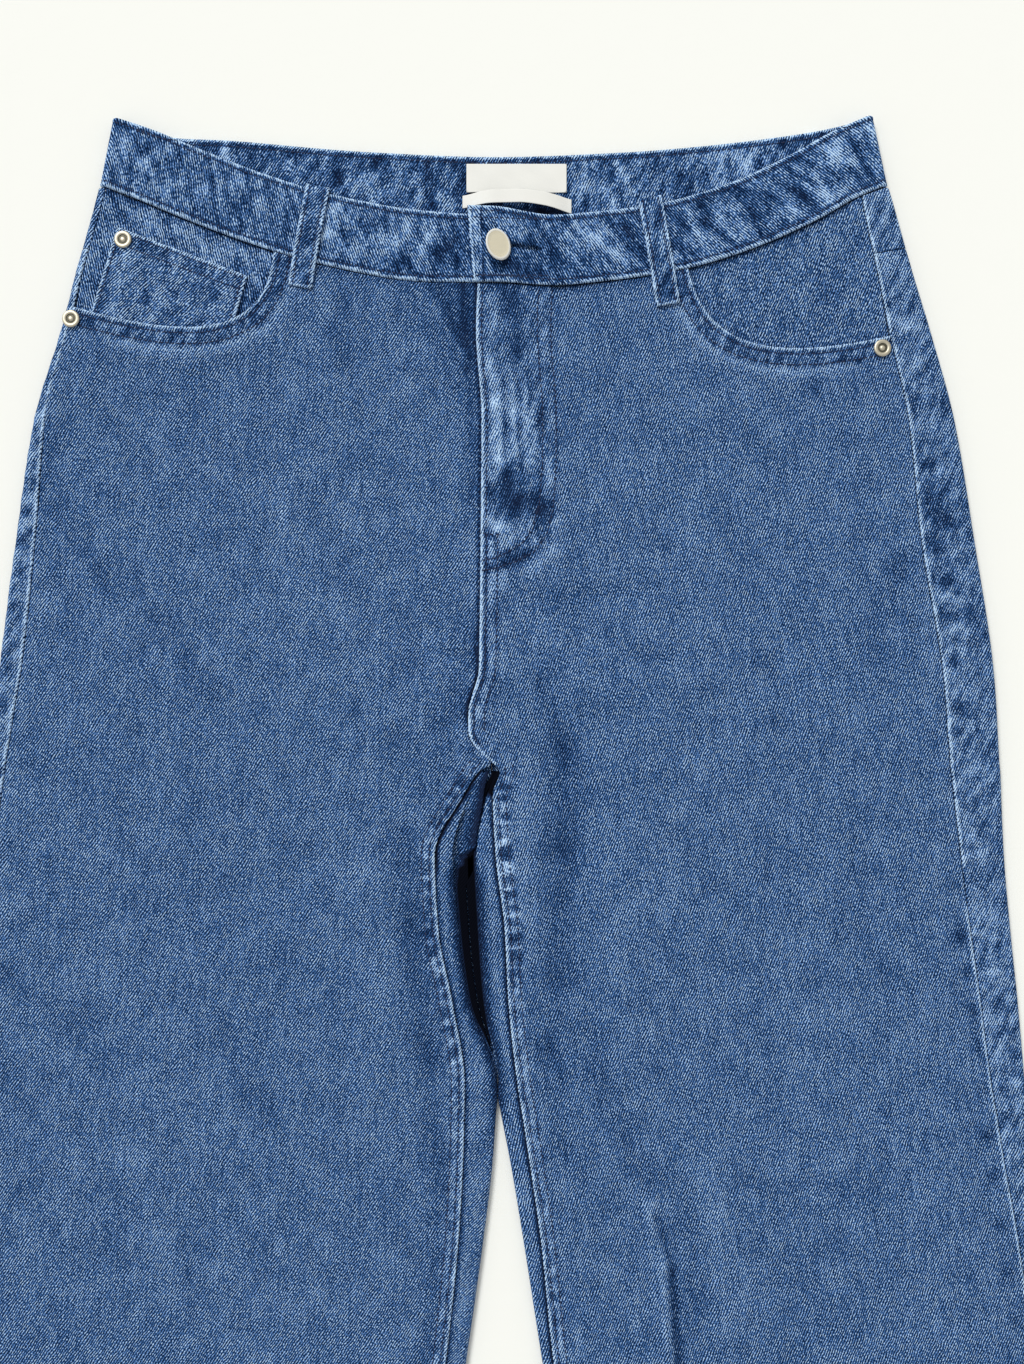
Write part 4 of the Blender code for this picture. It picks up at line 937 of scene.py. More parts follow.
def frontPanel(name, leg, opening, seamTop, lap, warp):
    o = leg.outward
    fly = flyLine(leg, lap)
    side = sideLine(leg, opening)
    mouth = np.stack(bezier(opening, np.linspace(1, 0, 120)), 1)
    mouth[-1, 1] = seamTop(mouth[-1, 0])
    across = np.linspace(mouth[-1, 0], fly[0, 0], 120)
    waist = np.stack([across, seamTop(across)], 1)
    hem = np.stack([fly[-1], side[0]])
    side = np.concatenate([side, mouth[:1]])
    panel = Panel([("fly", fly), ("hem", hem), ("side", side), ("mouth", mouth), ("waist", waist)])
    x, y = panel.points.T
    fromFly, alongFly = panel.away("fly")
    fromSide, alongSide = panel.away("side")
    fromMouth, alongMouth = panel.away("mouth")
    fromHem, _ = panel.away("hem")
    fromWaist, _ = panel.away("waist")
    nearEdge = np.minimum(fromSide, fromMouth)
    z = topLevel(x, y)
    beside = after(y, 366.0, 22.0)
    z += 0.3 * before(nearEdge, 26.0, 8.0) * beside
    high = cloth["pocketHem"] * ease((cloth["pocketHemDepth"] + 0.9 - fromMouth) / 1.4)
    height, fade = creaseSum(creases, x, y)
    if o < 0:
        z += cloth["coinRise"] * before(x, -138.0, 12.0) * beside * before(nearEdge, 30.0, 12.0)
        z -= cloth["flyDip"] * before(fromFly, 14.0, 3.0) * after(y, 212.0, 14.0)
        lapHere = ease((y - cloth["flyFoot"]) / 24.0) * cloth["flyLap"]
        # painted shadow: a dark line along the left of the lapped fly edge
        fade -= 1.5 * peak(fromFly - lapHere, 0.4, 1.3) * after(y, 206.0, 10.0)
        fade += 0.3 * peak(fromFly - lapHere, 5.0, 1.8) * after(y, 270.0, 8) * before(y, 325.0, 8)
        edge = np.where(y < 189, fromFly, noEdge) + noEdge * after(y, 143.0, 16.0)
    else:
        curve = np.sqrt(np.clip(1 - ((324.0 - y) / 28.0) ** 2, 0, 1))
        width = np.where(y > 324.0, cloth["flyWidth"], cloth["flyWidth"] * curve)
        wide = ease((width - fromFly) / 2.0) * after(y, 296.0, 6.0)
        narrow = before(fromFly, 14.5, 3.5) * after(y, 212.0, 14.0)
        z += cloth["flyRise"] * np.maximum(wide, narrow)
        bare = noEdge * after(y, 167.0, 6.0) * before(y, 186.5, 2.0)
        edge = np.minimum(fromFly + bare, np.where(y < 110, fromSide, noEdge))
        fade += 0.9 * peak(fromFly, 0, 1.5) * after(y, 190.0, 6.0)
        more, tone = creaseSum(flyWear, x, y)
        inFly = after(fromFly, 1.6, 1.6)
        height += more * inFly
        fade += 1.5 * tone * inFly
        for line in flyRows():
            away, _ = awayFrom(panel.points, line)
            # painted shade along the sunken rows of the fly's stitching
            fade -= (0.85 - 0.62 * after(y, 322.0, 12.0)) * peak(away, 0, 0.9)
            height -= 0.14 * peak(away, 0, 0.8)
    more, tone = creaseSum(seamSpots, x, y)
    low = before(y, 150.0, 60.0) if o > 0 else before(y, -400.0, 10.0)
    spots = low * after(fromSide, 2.0, 1.5) * before(fromSide, 22.0, 6.0)
    height += more * spots
    fade += tone * spots
    # puckers across the topstitched edges
    mouthRows = rungs(11 + o, 190.0, 5.2, (1.8, 9.2), 1.5, 0.34, 0.75)
    more, tone = creaseSum(mouthRows, alongMouth, fromMouth)
    strip = after(fromMouth, 1.9, 0.8) * before(fromMouth, 9.6, 1.0)
    height += (more - 0.1) * strip
    fade += (tone - 0.35) * strip
    inseamRows = rungs(31 + o, 2000.0, 7.6, (2.4, 8.0), 2.0, 0.3, 0.7)
    more, tone = creaseSum(inseamRows[:150], alongFly, fromFly)
    reach = 7.6 + (2.2 * after(y, 20.0, 40.0) if o > 0 else 0.0)
    seamBand = after(fromFly, 1.8, 0.8) * ease((reach - fromFly) / 1.2) * before(y, 186.0, 8.0)
    strong = 0.35 + (1.25 * after(y, 64.0, 30.0) if o > 0 else 0.65 * after(y, -20.0, 60.0))
    height += (more - 0.08) * seamBand
    fade += (2.3 * tone - 0.36) * seamBand * strong
    fade += 0.32 * seamBand * ease(((74.0 if o > 0 else 30.0) - y) / 24.0)
    if o > 0:
        fade += 0.2 * peak(fromFly, 15.0, 6.0) * before(y, 200.0, 12.0) * after(y, 60.0, 60.0)
    sideRows = rungs(51 + o, 2000.0, 11.0, (1.0, 9.0), 2.6, 0.22, 0.14)
    more, tone = creaseSum(sideRows, alongSide, fromSide)
    quiet = before(fromSide, 14.0, 6.0) * (y < 420)
    height += more * quiet
    fade += tone * quiet
    edge = np.minimum(edge, np.where(y > 412, fromMouth, noEdge))
    height += rope(np.minimum(edge, 20.0))
    for row in sewing["mouth"]:
        height += groove(fromMouth, row)
        # painted shade in the sunken sewn rows of the pocket's mouth
        fade -= 0.55 * np.exp(-((fromMouth - row) / 0.8) ** 2) * (y > 400)
    fade += 0.5 * peak(fromMouth, 13.0, 2.6) * after(fromSide, 14.0, 20.0) * (y > 400)
    inseamRow = peak(fromFly, sewing["inseam"][0], 0.8) + 0.6 * peak(fromFly, sewing["inseam"][1], 0.8)
    # painted shade in the sunken rows of the inseam
    fade -= 0.5 * inseamRow * before(y, 186.0, 8.0)
    # the waist's cloth dives under the band's foot and is painted with shade there, and the outer hem is
    # doubled
    fade -= 0.30 * peak(fromWaist, 0.5, 3.2)
    thick = np.where(fromHem < cloth["hemDepth"], cloth["hemWall"], cloth["wall"])
    mottle = np.maximum(0.15, before(fromMouth, 13.0, 3.0) * (y > 400))
    if o > 0:
        mottle = np.maximum(mottle, 0.7 * wide)
    mottle = np.maximum(mottle, 0.7 * before(fromFly, 11.0, 4.0) * (y < 250))
    roll = 0.9 * (1 - np.exp(-np.minimum(fromFly, fromSide) / 18.0)) * before(y, 330.0, 120.0)
    z = np.maximum(z + height + roll, 2.15) + high / 2
    points = np.stack([x, y, z], 1)
    return thinWall(name, points, [panel.faces], thick + high, flatGrain(panel.points, warp), edge, fade,
                    mottle,
                    denim, normals=upward)


frontRight = frontPanel("frontRight", rightLeg, rightOpening, seamRight, cloth["flyLap"], 85.0)
frontLeft = frontPanel("frontLeft", leftLeg, leftOpening, seamLeft, 0.0, 97.0)
print("fronts cut and laid")


# pocket facings and coin pocket
coin = {"corners": [(-219.5, 482.0), (-148.0, 455.0), (-157.5, 422.5), (-235.0, 431.0)], "hidden": 14.0}


def facingLevel(leg, opening, x, y):
    away = ease(np.abs(leg.side(y) - x) / 12.0)
    below = ease((opening[3][1] + 16.0 - y) / 14.0)
    return lerp(cloth["hipTop"], cloth["facingTop"], np.maximum(away, below))


def facing(name, leg, opening, seamTop, warp):
    o = leg.outward
    left = opening[0][0] - o * 12.0
    turn = np.linspace(0, 1, 40)
    mx, my = bezier(opening, turn)
    ax, ay = bezier(opening, np.minimum(turn + 0.01, 1.01))
    length = np.hypot(ax - mx, ay - my)
    below = np.stack([mx + (ay - my) / length * o * coin["hidden"],
                      my - (ax - mx) / length * o * coin["hidden"]], 1)
    last = opening[3][1] - 0.66 * coin["hidden"]
    foot = (float(leg.side(last)) - o * cloth["gap"] / 2, last)
    below = np.concatenate([below[below[:, 0] * o < foot[0] * o - 12.0], [foot]])
    xs = np.linspace(left, leg.side(seamTop(leg.side(496.0))) - o * cloth["gap"] / 2, 60)
    top = np.stack([xs, seamTop(xs)], 1)
    ys = np.linspace(top[-1, 1], last, 40)
    edge = np.stack([leg.side(ys) - o * cloth["gap"] / 2, ys], 1)
    edge[0] = top[-1]
    start = np.stack([below[0], top[0]])
    panel = Panel([("waist", top), ("side", edge), ("below", below[::-1]), ("start", start)],
                  fine=2.0, cell=2.6)
    x, y = panel.points.T
    fromWaist, _ = panel.away("waist")
    fromSide, _ = panel.away("side")
    mouth = np.stack(bezier(opening, np.linspace(0, 1, 60)), 1)
    fromMouth, _ = awayFrom(panel.points, mouth)
    ridges = scatter(71 + o, 46, (min(xs), max(xs), 420, 520), (10, 26), (2.0, 4.6),
                     (100, 135) if o < 0 else (45, 80), 0.16, 0.30)
    height, fade = creaseSum(ridges, x, y)
    if o > 0:
        height, fade = height * 0.45, fade * 0.35
    else:
        # a light rubbed band below the waist seam, and painted shade towards the pocket's mouth
        fade += 0.30 * peak(fromWaist, 7.0, 5.0) * after(x, -222, 20)
        fade -= 0.42 * np.exp(-((x + 150) / 12) ** 2 - ((y - 448) / 14) ** 2)
    # painted shade under the band's foot and under the front's edge at the pocket's mouth
    fade -= 0.35 * peak(fromWaist, 0, 2.6) + 0.30 * peak(fromMouth, 0, 3.0)
    level = facingLevel(leg, opening, x, y) + height
    points = np.stack([x, y, level], 1)
    return thinWall(name, points, [panel.faces], cloth["wall"], flatGrain(panel.points, warp), noEdge, fade,
                    0.85 if o < 0 else 0.3, pocketDenim, normals=upward)


facingRight = facing("facingRight", rightLeg, rightOpening, seamRight, 132.0)
facingLeft = facing("facingLeft", leftLeg, leftOpening, seamLeft, 97.0)


def coinPocket():
    a, b, c, d = [np.array(p) for p in coin["corners"]]
    panel = Panel([("head", np.stack([a, b])), ("inner", np.stack([b, c])), ("foot", np.stack([c, d])),
                   ("outer", np.stack([d, a]))], fine=1.4, cell=1.8)
    x, y = panel.points.T
    fromHead, alongHead = panel.away("head")
    fromInner, _ = panel.away("inner")
    fromOuter, _ = panel.away("outer")
    height, fade = creaseSum(rungs(91, 80.0, 5.4, (1.6, 8.4), 1.5, 0.30, 0.75), alongHead, fromHead)
    band = after(fromHead, 1.8, 0.7) * before(fromHead, 9.0, 0.9)
    height *= band
    fade = (fade - 0.38) * band
    ridges = scatter(95, 26, (-232, -150, 420, 474), (8, 22), (1.8, 4.0), (60, 115), 0.16, 0.34)
    more, tone = creaseSum(ridges, x, y)
    belowBand = after(fromHead, 9.5, 3.0)
    height += more * belowBand
    fade += tone * belowBand
    fade += 0.30 * peak(fromOuter, 12, 5.0) * belowBand + 0.22 * peak(fromInner, 8, 4.0) * belowBand
    # painted shade along the sunken sewn rows of the sides
    for away in (fromInner, fromOuter):
        fade -= 0.25 * peak(away, 2.6, 0.8)
    edge = np.minimum(fromHead, np.minimum(fromInner, fromOuter))
    height += rope(edge, 0.25, 0.8) + sum(groove(fromHead, row, 0.1) for row in sewing["coinHead"])
    level = facingLevel(rightLeg, rightOpening, x, y) + cloth["wall"] + cloth["gap"]
    thick = cloth["wall"] + np.maximum(height, 0)
    points = np.stack([x, y, level + np.maximum(height, 0) / 2], 1)
    return thinWall("coinPocket", points, [panel.faces], thick, flatGrain(panel.points, 75.0), edge, fade,
                    0.75, pocketDenim, normals=upward)


coinPiece = coinPocket()
print("pockets laid")


# back panels and yokes, which wrap round both folds
strip = {
    "shares": [0, 0.01, 0.03, 0.06, 0.10, 0.15, 0.21, 0.28, 0.36, 0.45, 0.55, 0.66, 0.77, 0.89],
    "curl": 9,
    "floor": [0.012, 0.03, 0.055, 0.09, 0.13, 0.17, 0.21, 0.25, 0.29, 0.335, 0.38, 0.425, 0.47, 0.515, 0.56,
              0.605,
              0.65, 0.695, 0.74, 0.785, 0.83, 0.87, 0.91, 0.94, 0.965, 0.985, 0.994, 0.998, 1.0],
}


def runTo(points, x, y, z):
    points.append((float(x), float(y), float(z)))


def outerRun(leg, top, floor):
    o = leg.outward
    side, fold, down = top(leg.side), top(leg.outer), floor(leg.outer)
    high = topLevel(fold[0] - 3 * o, fold[1])
    low = floorLevel(down[0] - 3 * o, down[1])
    radius = (high - low) / 2
    hub = fold[0] - o * (radius + cloth["wall"] / 2)
    start = side[0] + o * cloth["gap"] / 2
    run = []
    for t in strip["shares"]:
        x = lerp(start, hub, t)
        across = lerp(side[1], fold[1], t)
        runTo(run, x, across, lerp(topLevel(x, across), high, t))
    for k in range(strip["curl"] + 1):
        angle = math.pi * (0.5 - k / strip["curl"])
        across = lerp(fold[1], down[1], k / strip["curl"])
        runTo(run, hub + o * radius * math.cos(angle), across, (high + low) / 2 + radius * math.sin(angle))
    return run


def floorRun(start, end):
    run = []
    for t in strip["floor"]:
        x = lerp(start[0], end[0], t)
        y = lerp(start[1], end[1], t)
        runTo(run, x, y, floorLevel(x, y))
    return run


def innerRun(leg, y):
    o = leg.outward
    fold = leg.place(leg.fold, y)
    inseam = leg.place(leg.centre, y)
    high = topLevel(fold[0] + 3 * o, fold[1])
    low = floorLevel(fold[0], fold[1])
    radius = (high - low) / 2
    hub = fold[0] + o * (radius + cloth["wall"] / 2)
    end = inseam[0] - o * cloth["gap"] / 2
    run = []
    for k in range(strip["curl"] + 1):
        angle = math.pi * (k / strip["curl"] - 0.5)
        runTo(run, hub - o * radius * math.cos(angle), fold[1], (high + low) / 2 + radius * math.sin(angle))
    for share in reversed(strip["shares"]):
        t = 1 - share
        x = lerp(hub, end, t)
        across = lerp(fold[1], inseam[1], t)
        runTo(run, x, across, lerp(high, topLevel(x, across), t))
    return run


webEdge = follow([118.0, 143.0, 155.0, 167.0, 175.0, 183.0], [0.3, 0.3, 0.5, 1.2, 2.4, 3.4])
webShares = [0, 0.012, 0.035, 0.08, 0.18, 0.36, 0.62]


def webFoot(x):
    # the lower edge of the web between the legs
    return 136.4 + 0.42 * (x + 34.6)


def hookRun(leg, y):
    o = leg.outward
    high = topLevel(leg.fold(y) + 3 * o, y)
    end = leg.centre(y) - o * cloth["gap"] / 2
    foot = leg.fold(y) + o * cloth["wall"] / 2
    reach = min(3.0, abs(end - foot) * 0.7)
    leaving = ease((y - cut["slitFoot"]) / 34.0)

    def level(x):
        rise = ease((y - webFoot(x) + 2.0) / 2.6)
        bridge = high - (0.2 if o < 0 else 1.7)
        return lerp(cloth["wall"] / 2, lerp(cloth["valleyFloor"], bridge, rise), leaving)

    # the right one bridges the valley as a web, the left one ends below it
    reachTo = lerp(leg.back(y), leftLeg.fold(y) - webEdge(y), after(y, 118.0, 12.0)) if o < 0 else leg.back(y)
    start = reachTo + o * cloth["gap"] / 2
    run = []
    for t in webShares:
        runTo(run, lerp(start, foot, t), y, level(lerp(start, foot, t)))
    low = level(foot)
    count = strip["curl"]
    for k in range(count):
        angle = math.pi / 2 * k / (count - 1)
        runTo(run, foot + o * reach * (1 - math.cos(angle)), y, low + (high - low) * math.sin(angle))
    for share in reversed(strip["shares"]):
        t = 1 - share
        x = lerp(foot + o * reach, end, t)
        runTo(run, x, y, lerp(high, topLevel(x, y), t))
    return run


def yokeLine(leg, x, onTop):
    fold = leg.outer(cut["yokeSide"])
    if onTop:
        return cut["yokeSide"] - 0.15 * abs(fold - x)
    share = np.minimum(np.abs(x - fold) / abs(cut["centreBack"] - fold), 1.0)
    return lerp(cut["yokeSide"], cut["yokeCentre"], share)


def arcs(run):
    steps = np.linalg.norm(np.diff(np.array(run), axis=0), axis=1)
    return np.concatenate([[0], np.cumsum(steps)])


def backPanel(name, leg, warp):
    o = leg.outward
    points, cloths, seam, inner, thick, quads, fan = [], [], [], [], [], [], []
    mainWidth = len(strip["shares"]) + strip["curl"] + 1 + len(strip["floor"])

    def addRow(run, along, fromSeam, fromInner, wall):
        at = len(points)
        points.extend(run)
        cloths.extend(along)
        seam.extend(fromSeam)
        inner.extend(fromInner)
        thick.extend([wall] * len(run))
        return at

    def weave(a, b, count):
        for c in range(count - 1):
            quads.append((a + c, a + c + 1, b + c + 1, b + c))

    ys = np.concatenate([[cut["hemY"] + d for d in (0, 0.12, 0.35, 0.7, 1.6, 3.5, 7.0, 13.9, 15.2)],
                         np.arange(-505.0, -168.0, 7.0), np.arange(-165.0, 9.0, 2.6), [cut["slitFoot"]]])
    previous = None
    for y in ys:
        at = lambda line, y=y: leg.place(line, y)
        run = outerRun(leg, at, at)
        closing = innerRun(leg, y)
        floorPart = floorRun(run[-1], closing[0])[:-1]
        run = run + floorPart + closing
        arc = arcs(run)
        start = run[0][0]
        row = addRow(run, [(start + o * a, p[1]) for a, p in zip(arc, run)], arc, arc[-1] - arc,
                     cloth["hemWall"] if y < cut["hemY"] + cloth["hemDepth"] else cloth["wall"])
        if previous is not None:
            weave(previous, row, len(run))
        previous = row
        whole = len(run)
    slitRow = previous
    split = mainWidth - 1
    hookCount = whole - split

    mainRow = slitRow
    thighs = np.concatenate([np.arange(13.5, 128.0, 2.6), np.arange(128.0, 146.0, 0.9),
                             np.arange(147.5, 182.0, 2.6),
                             [183.0]])
    tall = cut["yokeSide"] - cut["hookTop"]
    nearSeam = [tall - 2.0, tall - 1.2, tall - 0.7, tall - 0.35, tall - 0.12, tall]
    shares = np.concatenate([np.arange(2.6, tall - 3.0, 2.7), nearSeam]) / tall
    for y, share in [(y, None) for y in thighs] + [(None, s) for s in shares]:
        if share is None:
            top = floor = lambda line, y=y: leg.place(line, y)
            t = (y - cut["slitFoot"]) / (cut["crotch"] - cut["slitFoot"])
            end = lerp(leg.back(cut["slitFoot"]), leg.back(cut["crotch"]), t), y
        else:
            def blend(line, onTop, share=share):
                target = yokeLine(leg, line(cut["yokeSide"]), onTop) - cloth["gap"] / 2
                height = lerp(cut["hookTop"], target, share)
                return line(height), height
            top = lambda line: blend(line, True)
            floor = lambda line: blend(line, False)
            end = floor(leg.back)
        run = outerRun(leg, top, floor)
        run += floorRun(run[-1], (end[0] + o * cloth["gap"] / 2, end[1]))
        if share is not None:
            bent = []
            for x, height, z in run:
                if z <= (cloth["hipTop"] + cloth["wall"]) / 2:
                    height = float(lerp(cut["hookTop"], yokeLine(leg, x, False) - cloth["gap"] / 2, share))
                bent.append((x, height, z))
            run = bent
        arc = arcs(run)
        start = run[0][0]
        row = addRow(run, [(start + o * a, p[1]) for a, p in zip(arc, run)], arc, np.full(len(run), noSeam),
                     cloth["wall"])
        weave(mainRow, row, mainWidth)
        mainRow = row
    hookRow = slitRow + split
    shift = cloths[slitRow + whole - 1][0] - points[slitRow + whole - 1][0]
    for y in thighs:
        run = hookRun(leg, y)
        arc = arcs(run)
        end = run[-1][0] + shift
        row = addRow(run, [(end - o * (arc[-1] - a), p[1]) for a, p in zip(arc, run)],
                     np.full(len(run), noSeam),
                     arc[-1] - arc, cloth["wall"])
        if hookRow == slitRow + split:
            more = len(webShares) - 1
            fan += [(hookRow, row + k + 1, row + k) for k in range(more)]
            weave(hookRow, row + more, min(hookCount, len(run) - more))
        else:
            weave(hookRow, row, len(run))
        hookRow = row
    points = np.array(points)
    quads, fan = np.array(quads), np.array(fan)
    seam, inner = np.array(seam), np.array(inner)
    if o < 0:
        quads = quads[:, ::-1]
        fan = fan[:, ::-1]
    x, y, z = points.T
    up = after(z, 3.2, 1.2) * (inner > 30)
    height, fade = creaseSum(seamSpots, x, y)
    height, fade = height * up, fade * up * 1.1
    ridges = rungs(15 + o, 1200.0, 11.0, (2.0, 16.0), 3.0, 0.3, 0.5)
    more, tone = creaseSum(ridges, y + 540.0, seam)
    height += more * up
    fade += tone * up
    roped = up * after(y, 100.0, 60.0) if o > 0 else up
    edge = np.where(roped > 0.5, seam, noEdge)
    height += rope(np.minimum(edge, 20.0), 0.4) * (edge < 20)
    # painted shade: the valley between the legs, the cloth seen down in it and the gap beside the web are
    # painted dark to near black; a lighter rim runs along the web's lower edge
    onTop = after(z, 3.0, 1.0)
    high = np.clip(y, cut["slitFoot"], cut["hookTop"])
    between = ease((x - rightLeg.fold(high) - 0.2) / 0.8) * ease((leftLeg.fold(high) - 0.2 - x) / 0.8)
    below = ease((webFoot(x) - y) / 1.0)
    corner = ease((-0.85 * (x + 24.5) + 0.53 * (y - 138.6)) / 1.5)
    dark = between * after(y, 6.0, 14.0) * (inner != noSeam)  # not on the side that lies on the floor
    if o < 0:
        fade = fade - (3.2 - 1.9 * corner * (y > 110)) * dark * below
        fade = fade - 0.55 * dark * (1 - below) + 0.6 * peak(y - webFoot(x), 0.8, 0.7) * dark
        fromWeb = leftLeg.fold(high) - webEdge(high) - x
        fade = fade - 1.3 * peak(fromWeb, 0, 3.4) * dark * (1 - below)
    else:
        fade = fade - 3.2 * np.maximum(dark, after(y, 168.0, 5.0) * (inner < 12.0))
    # painted shade: the strips turn dark where they roll into the valley
    past = x - rightLeg.fold(high) if o < 0 else leftLeg.fold(high) - x
    rolled = after(past, -7.0, 7.0)
    fade = fade - 1.1 * rolled * after(y, -30.0, 30.0) * before(y, 134.0, 10.0) * (inner < 28.0) * (z > 2.5)
    # painted shade along each strip's edge at the inseam
    tucked = np.exp(-(inner / (1.5 + 0.2 * after(y, 140.0, 20.0) * (o < 0))) ** 2) * before(y, 186.0, 4.0)
    fade = fade - (0.9 + (1.9 * after(y, 122.0, 14.0) if o < 0 else 0.4)) * tucked
    fade = fade + 0.10 * peak(inner, 5.0, 4.0) * onTop
    cloths = flatGrain(np.array(cloths), warp)
    return thinWall(name, points, [quads, fan], np.array(thick), cloths, edge, fade, 0.15 + 0.75 * up, denim,
                    lift=height)


backRight = backPanel("backRight", rightLeg, 84.0)
backLeft = backPanel("backLeft", leftLeg, 94.0)
print("backs laid")


def yoke(name, leg, seamTop, warp):
    o = leg.outward
    points, cloths, seam = [], [], []
    shares = [0, 0.004, 0.011, 0.022, 0.05, 0.1, 0.17, 0.25, 0.33, 0.42, 0.5, 0.58, 0.67, 0.75, 0.83, 0.9,
              0.95,
              0.978, 0.989, 0.996, 1.0]
    for share in shares:
        def edge(line, seamLine, onTop):
            height = cut["yokeSide"]
            for _ in range(4):
                x = line(height)
                height = lerp(yokeLine(leg, x, onTop) + cloth["gap"] / 2, seamLine(x), share)
            return x, height

        top = lambda line: edge(line, seamTop, True)
        floor = lambda line: edge(line, seamBack, False)
        run = outerRun(leg, top, floor)
        end = floor(leg.back)
        run += floorRun(run[-1], (end[0] + o * cloth["gap"] / 2, end[1]))
        bent = []
        for x, height, z in run:
            if z < (cloth["hipTop"] + cloth["wall"]) / 2:
                height = float(lerp(yokeLine(leg, x, False) + cloth["gap"] / 2, seamBack(x), share))
            bent.append((x, height, z))
        arc = arcs(bent)
        points += bent
        cloths += [(bent[0][0] + o * a, p[1]) for a, p in zip(arc, bent)]
        seam += list(arc)
    quads = gridQuads(len(shares), len(bent))
    if o < 0:
        quads = quads[:, ::-1]
    points, seam = np.array(points), np.array(seam)
    x, y, z = points.T
    up = after(z, 3.4, 1.2)
    height, fade = creaseSum(rungs(61 + o, 80.0, 9.0, (2.0, 14.0), 2.6, 0.22, 0.4), y - 440.0, seam)
    edge = np.where((up > 0.5) & (o > 0), seam, noEdge)
    height = height * up + rope(np.minimum(edge, 20.0), 0.4) * (edge < 20)
    return thinWall(name, points, [quads], cloth["wall"], flatGrain(np.array(cloths), warp), edge, fade * up,
                    0.2 + 0.7 * up, denim, lift=height)


yokeRight = yoke("yokeRight", rightLeg, seamRight, 84.0)
yokeLeft = yoke("yokeLeft", leftLeg, seamLeft, 94.0)
print("yokes laid")

# waistband
waist = {"step": 2.2, "backStep": 2.6, "holeFrom": -4.6, "holeTo": 13.6,
         "shares": [0, 0.0035, 0.010, 0.02, 0.036, 0.06, 0.09, 0.13, 0.18, 0.235, 0.29, 0.345, 0.40, 0.45,
                    0.48, 0.52, 0.55, 0.60, 0.655, 0.71, 0.765, 0.82, 0.87, 0.91, 0.94, 0.964, 0.98,
                    0.990, 0.9965, 1.0]}


bandWear = creaseRows(
    (-8, 486, 1.6, 476, 1.8, 0.2, 0.70), (1.6, 476, 8, 466, 2.0, 0.2, 0.75),
    (-1, 485, 6, 478, 1.4, 0.1, 0.45), (25, 474, 31, 483, 1.8, 0.2, 0.60),
    (31, 483, 39, 471, 1.9, 0.2, 0.70), (33, 485, 46, 470, 1.5, 0.1, 0.40),
    (40, 478, 60, 462, 2.2, 0.2, 0.55), (-14, 462, 22, 458, 7.5, -0.1, -0.60),
    (10, 478, 20, 470, 4.5, -0.1, -0.55), (-20, 486, -12, 487, 3.0, -0.1, -0.30),
)


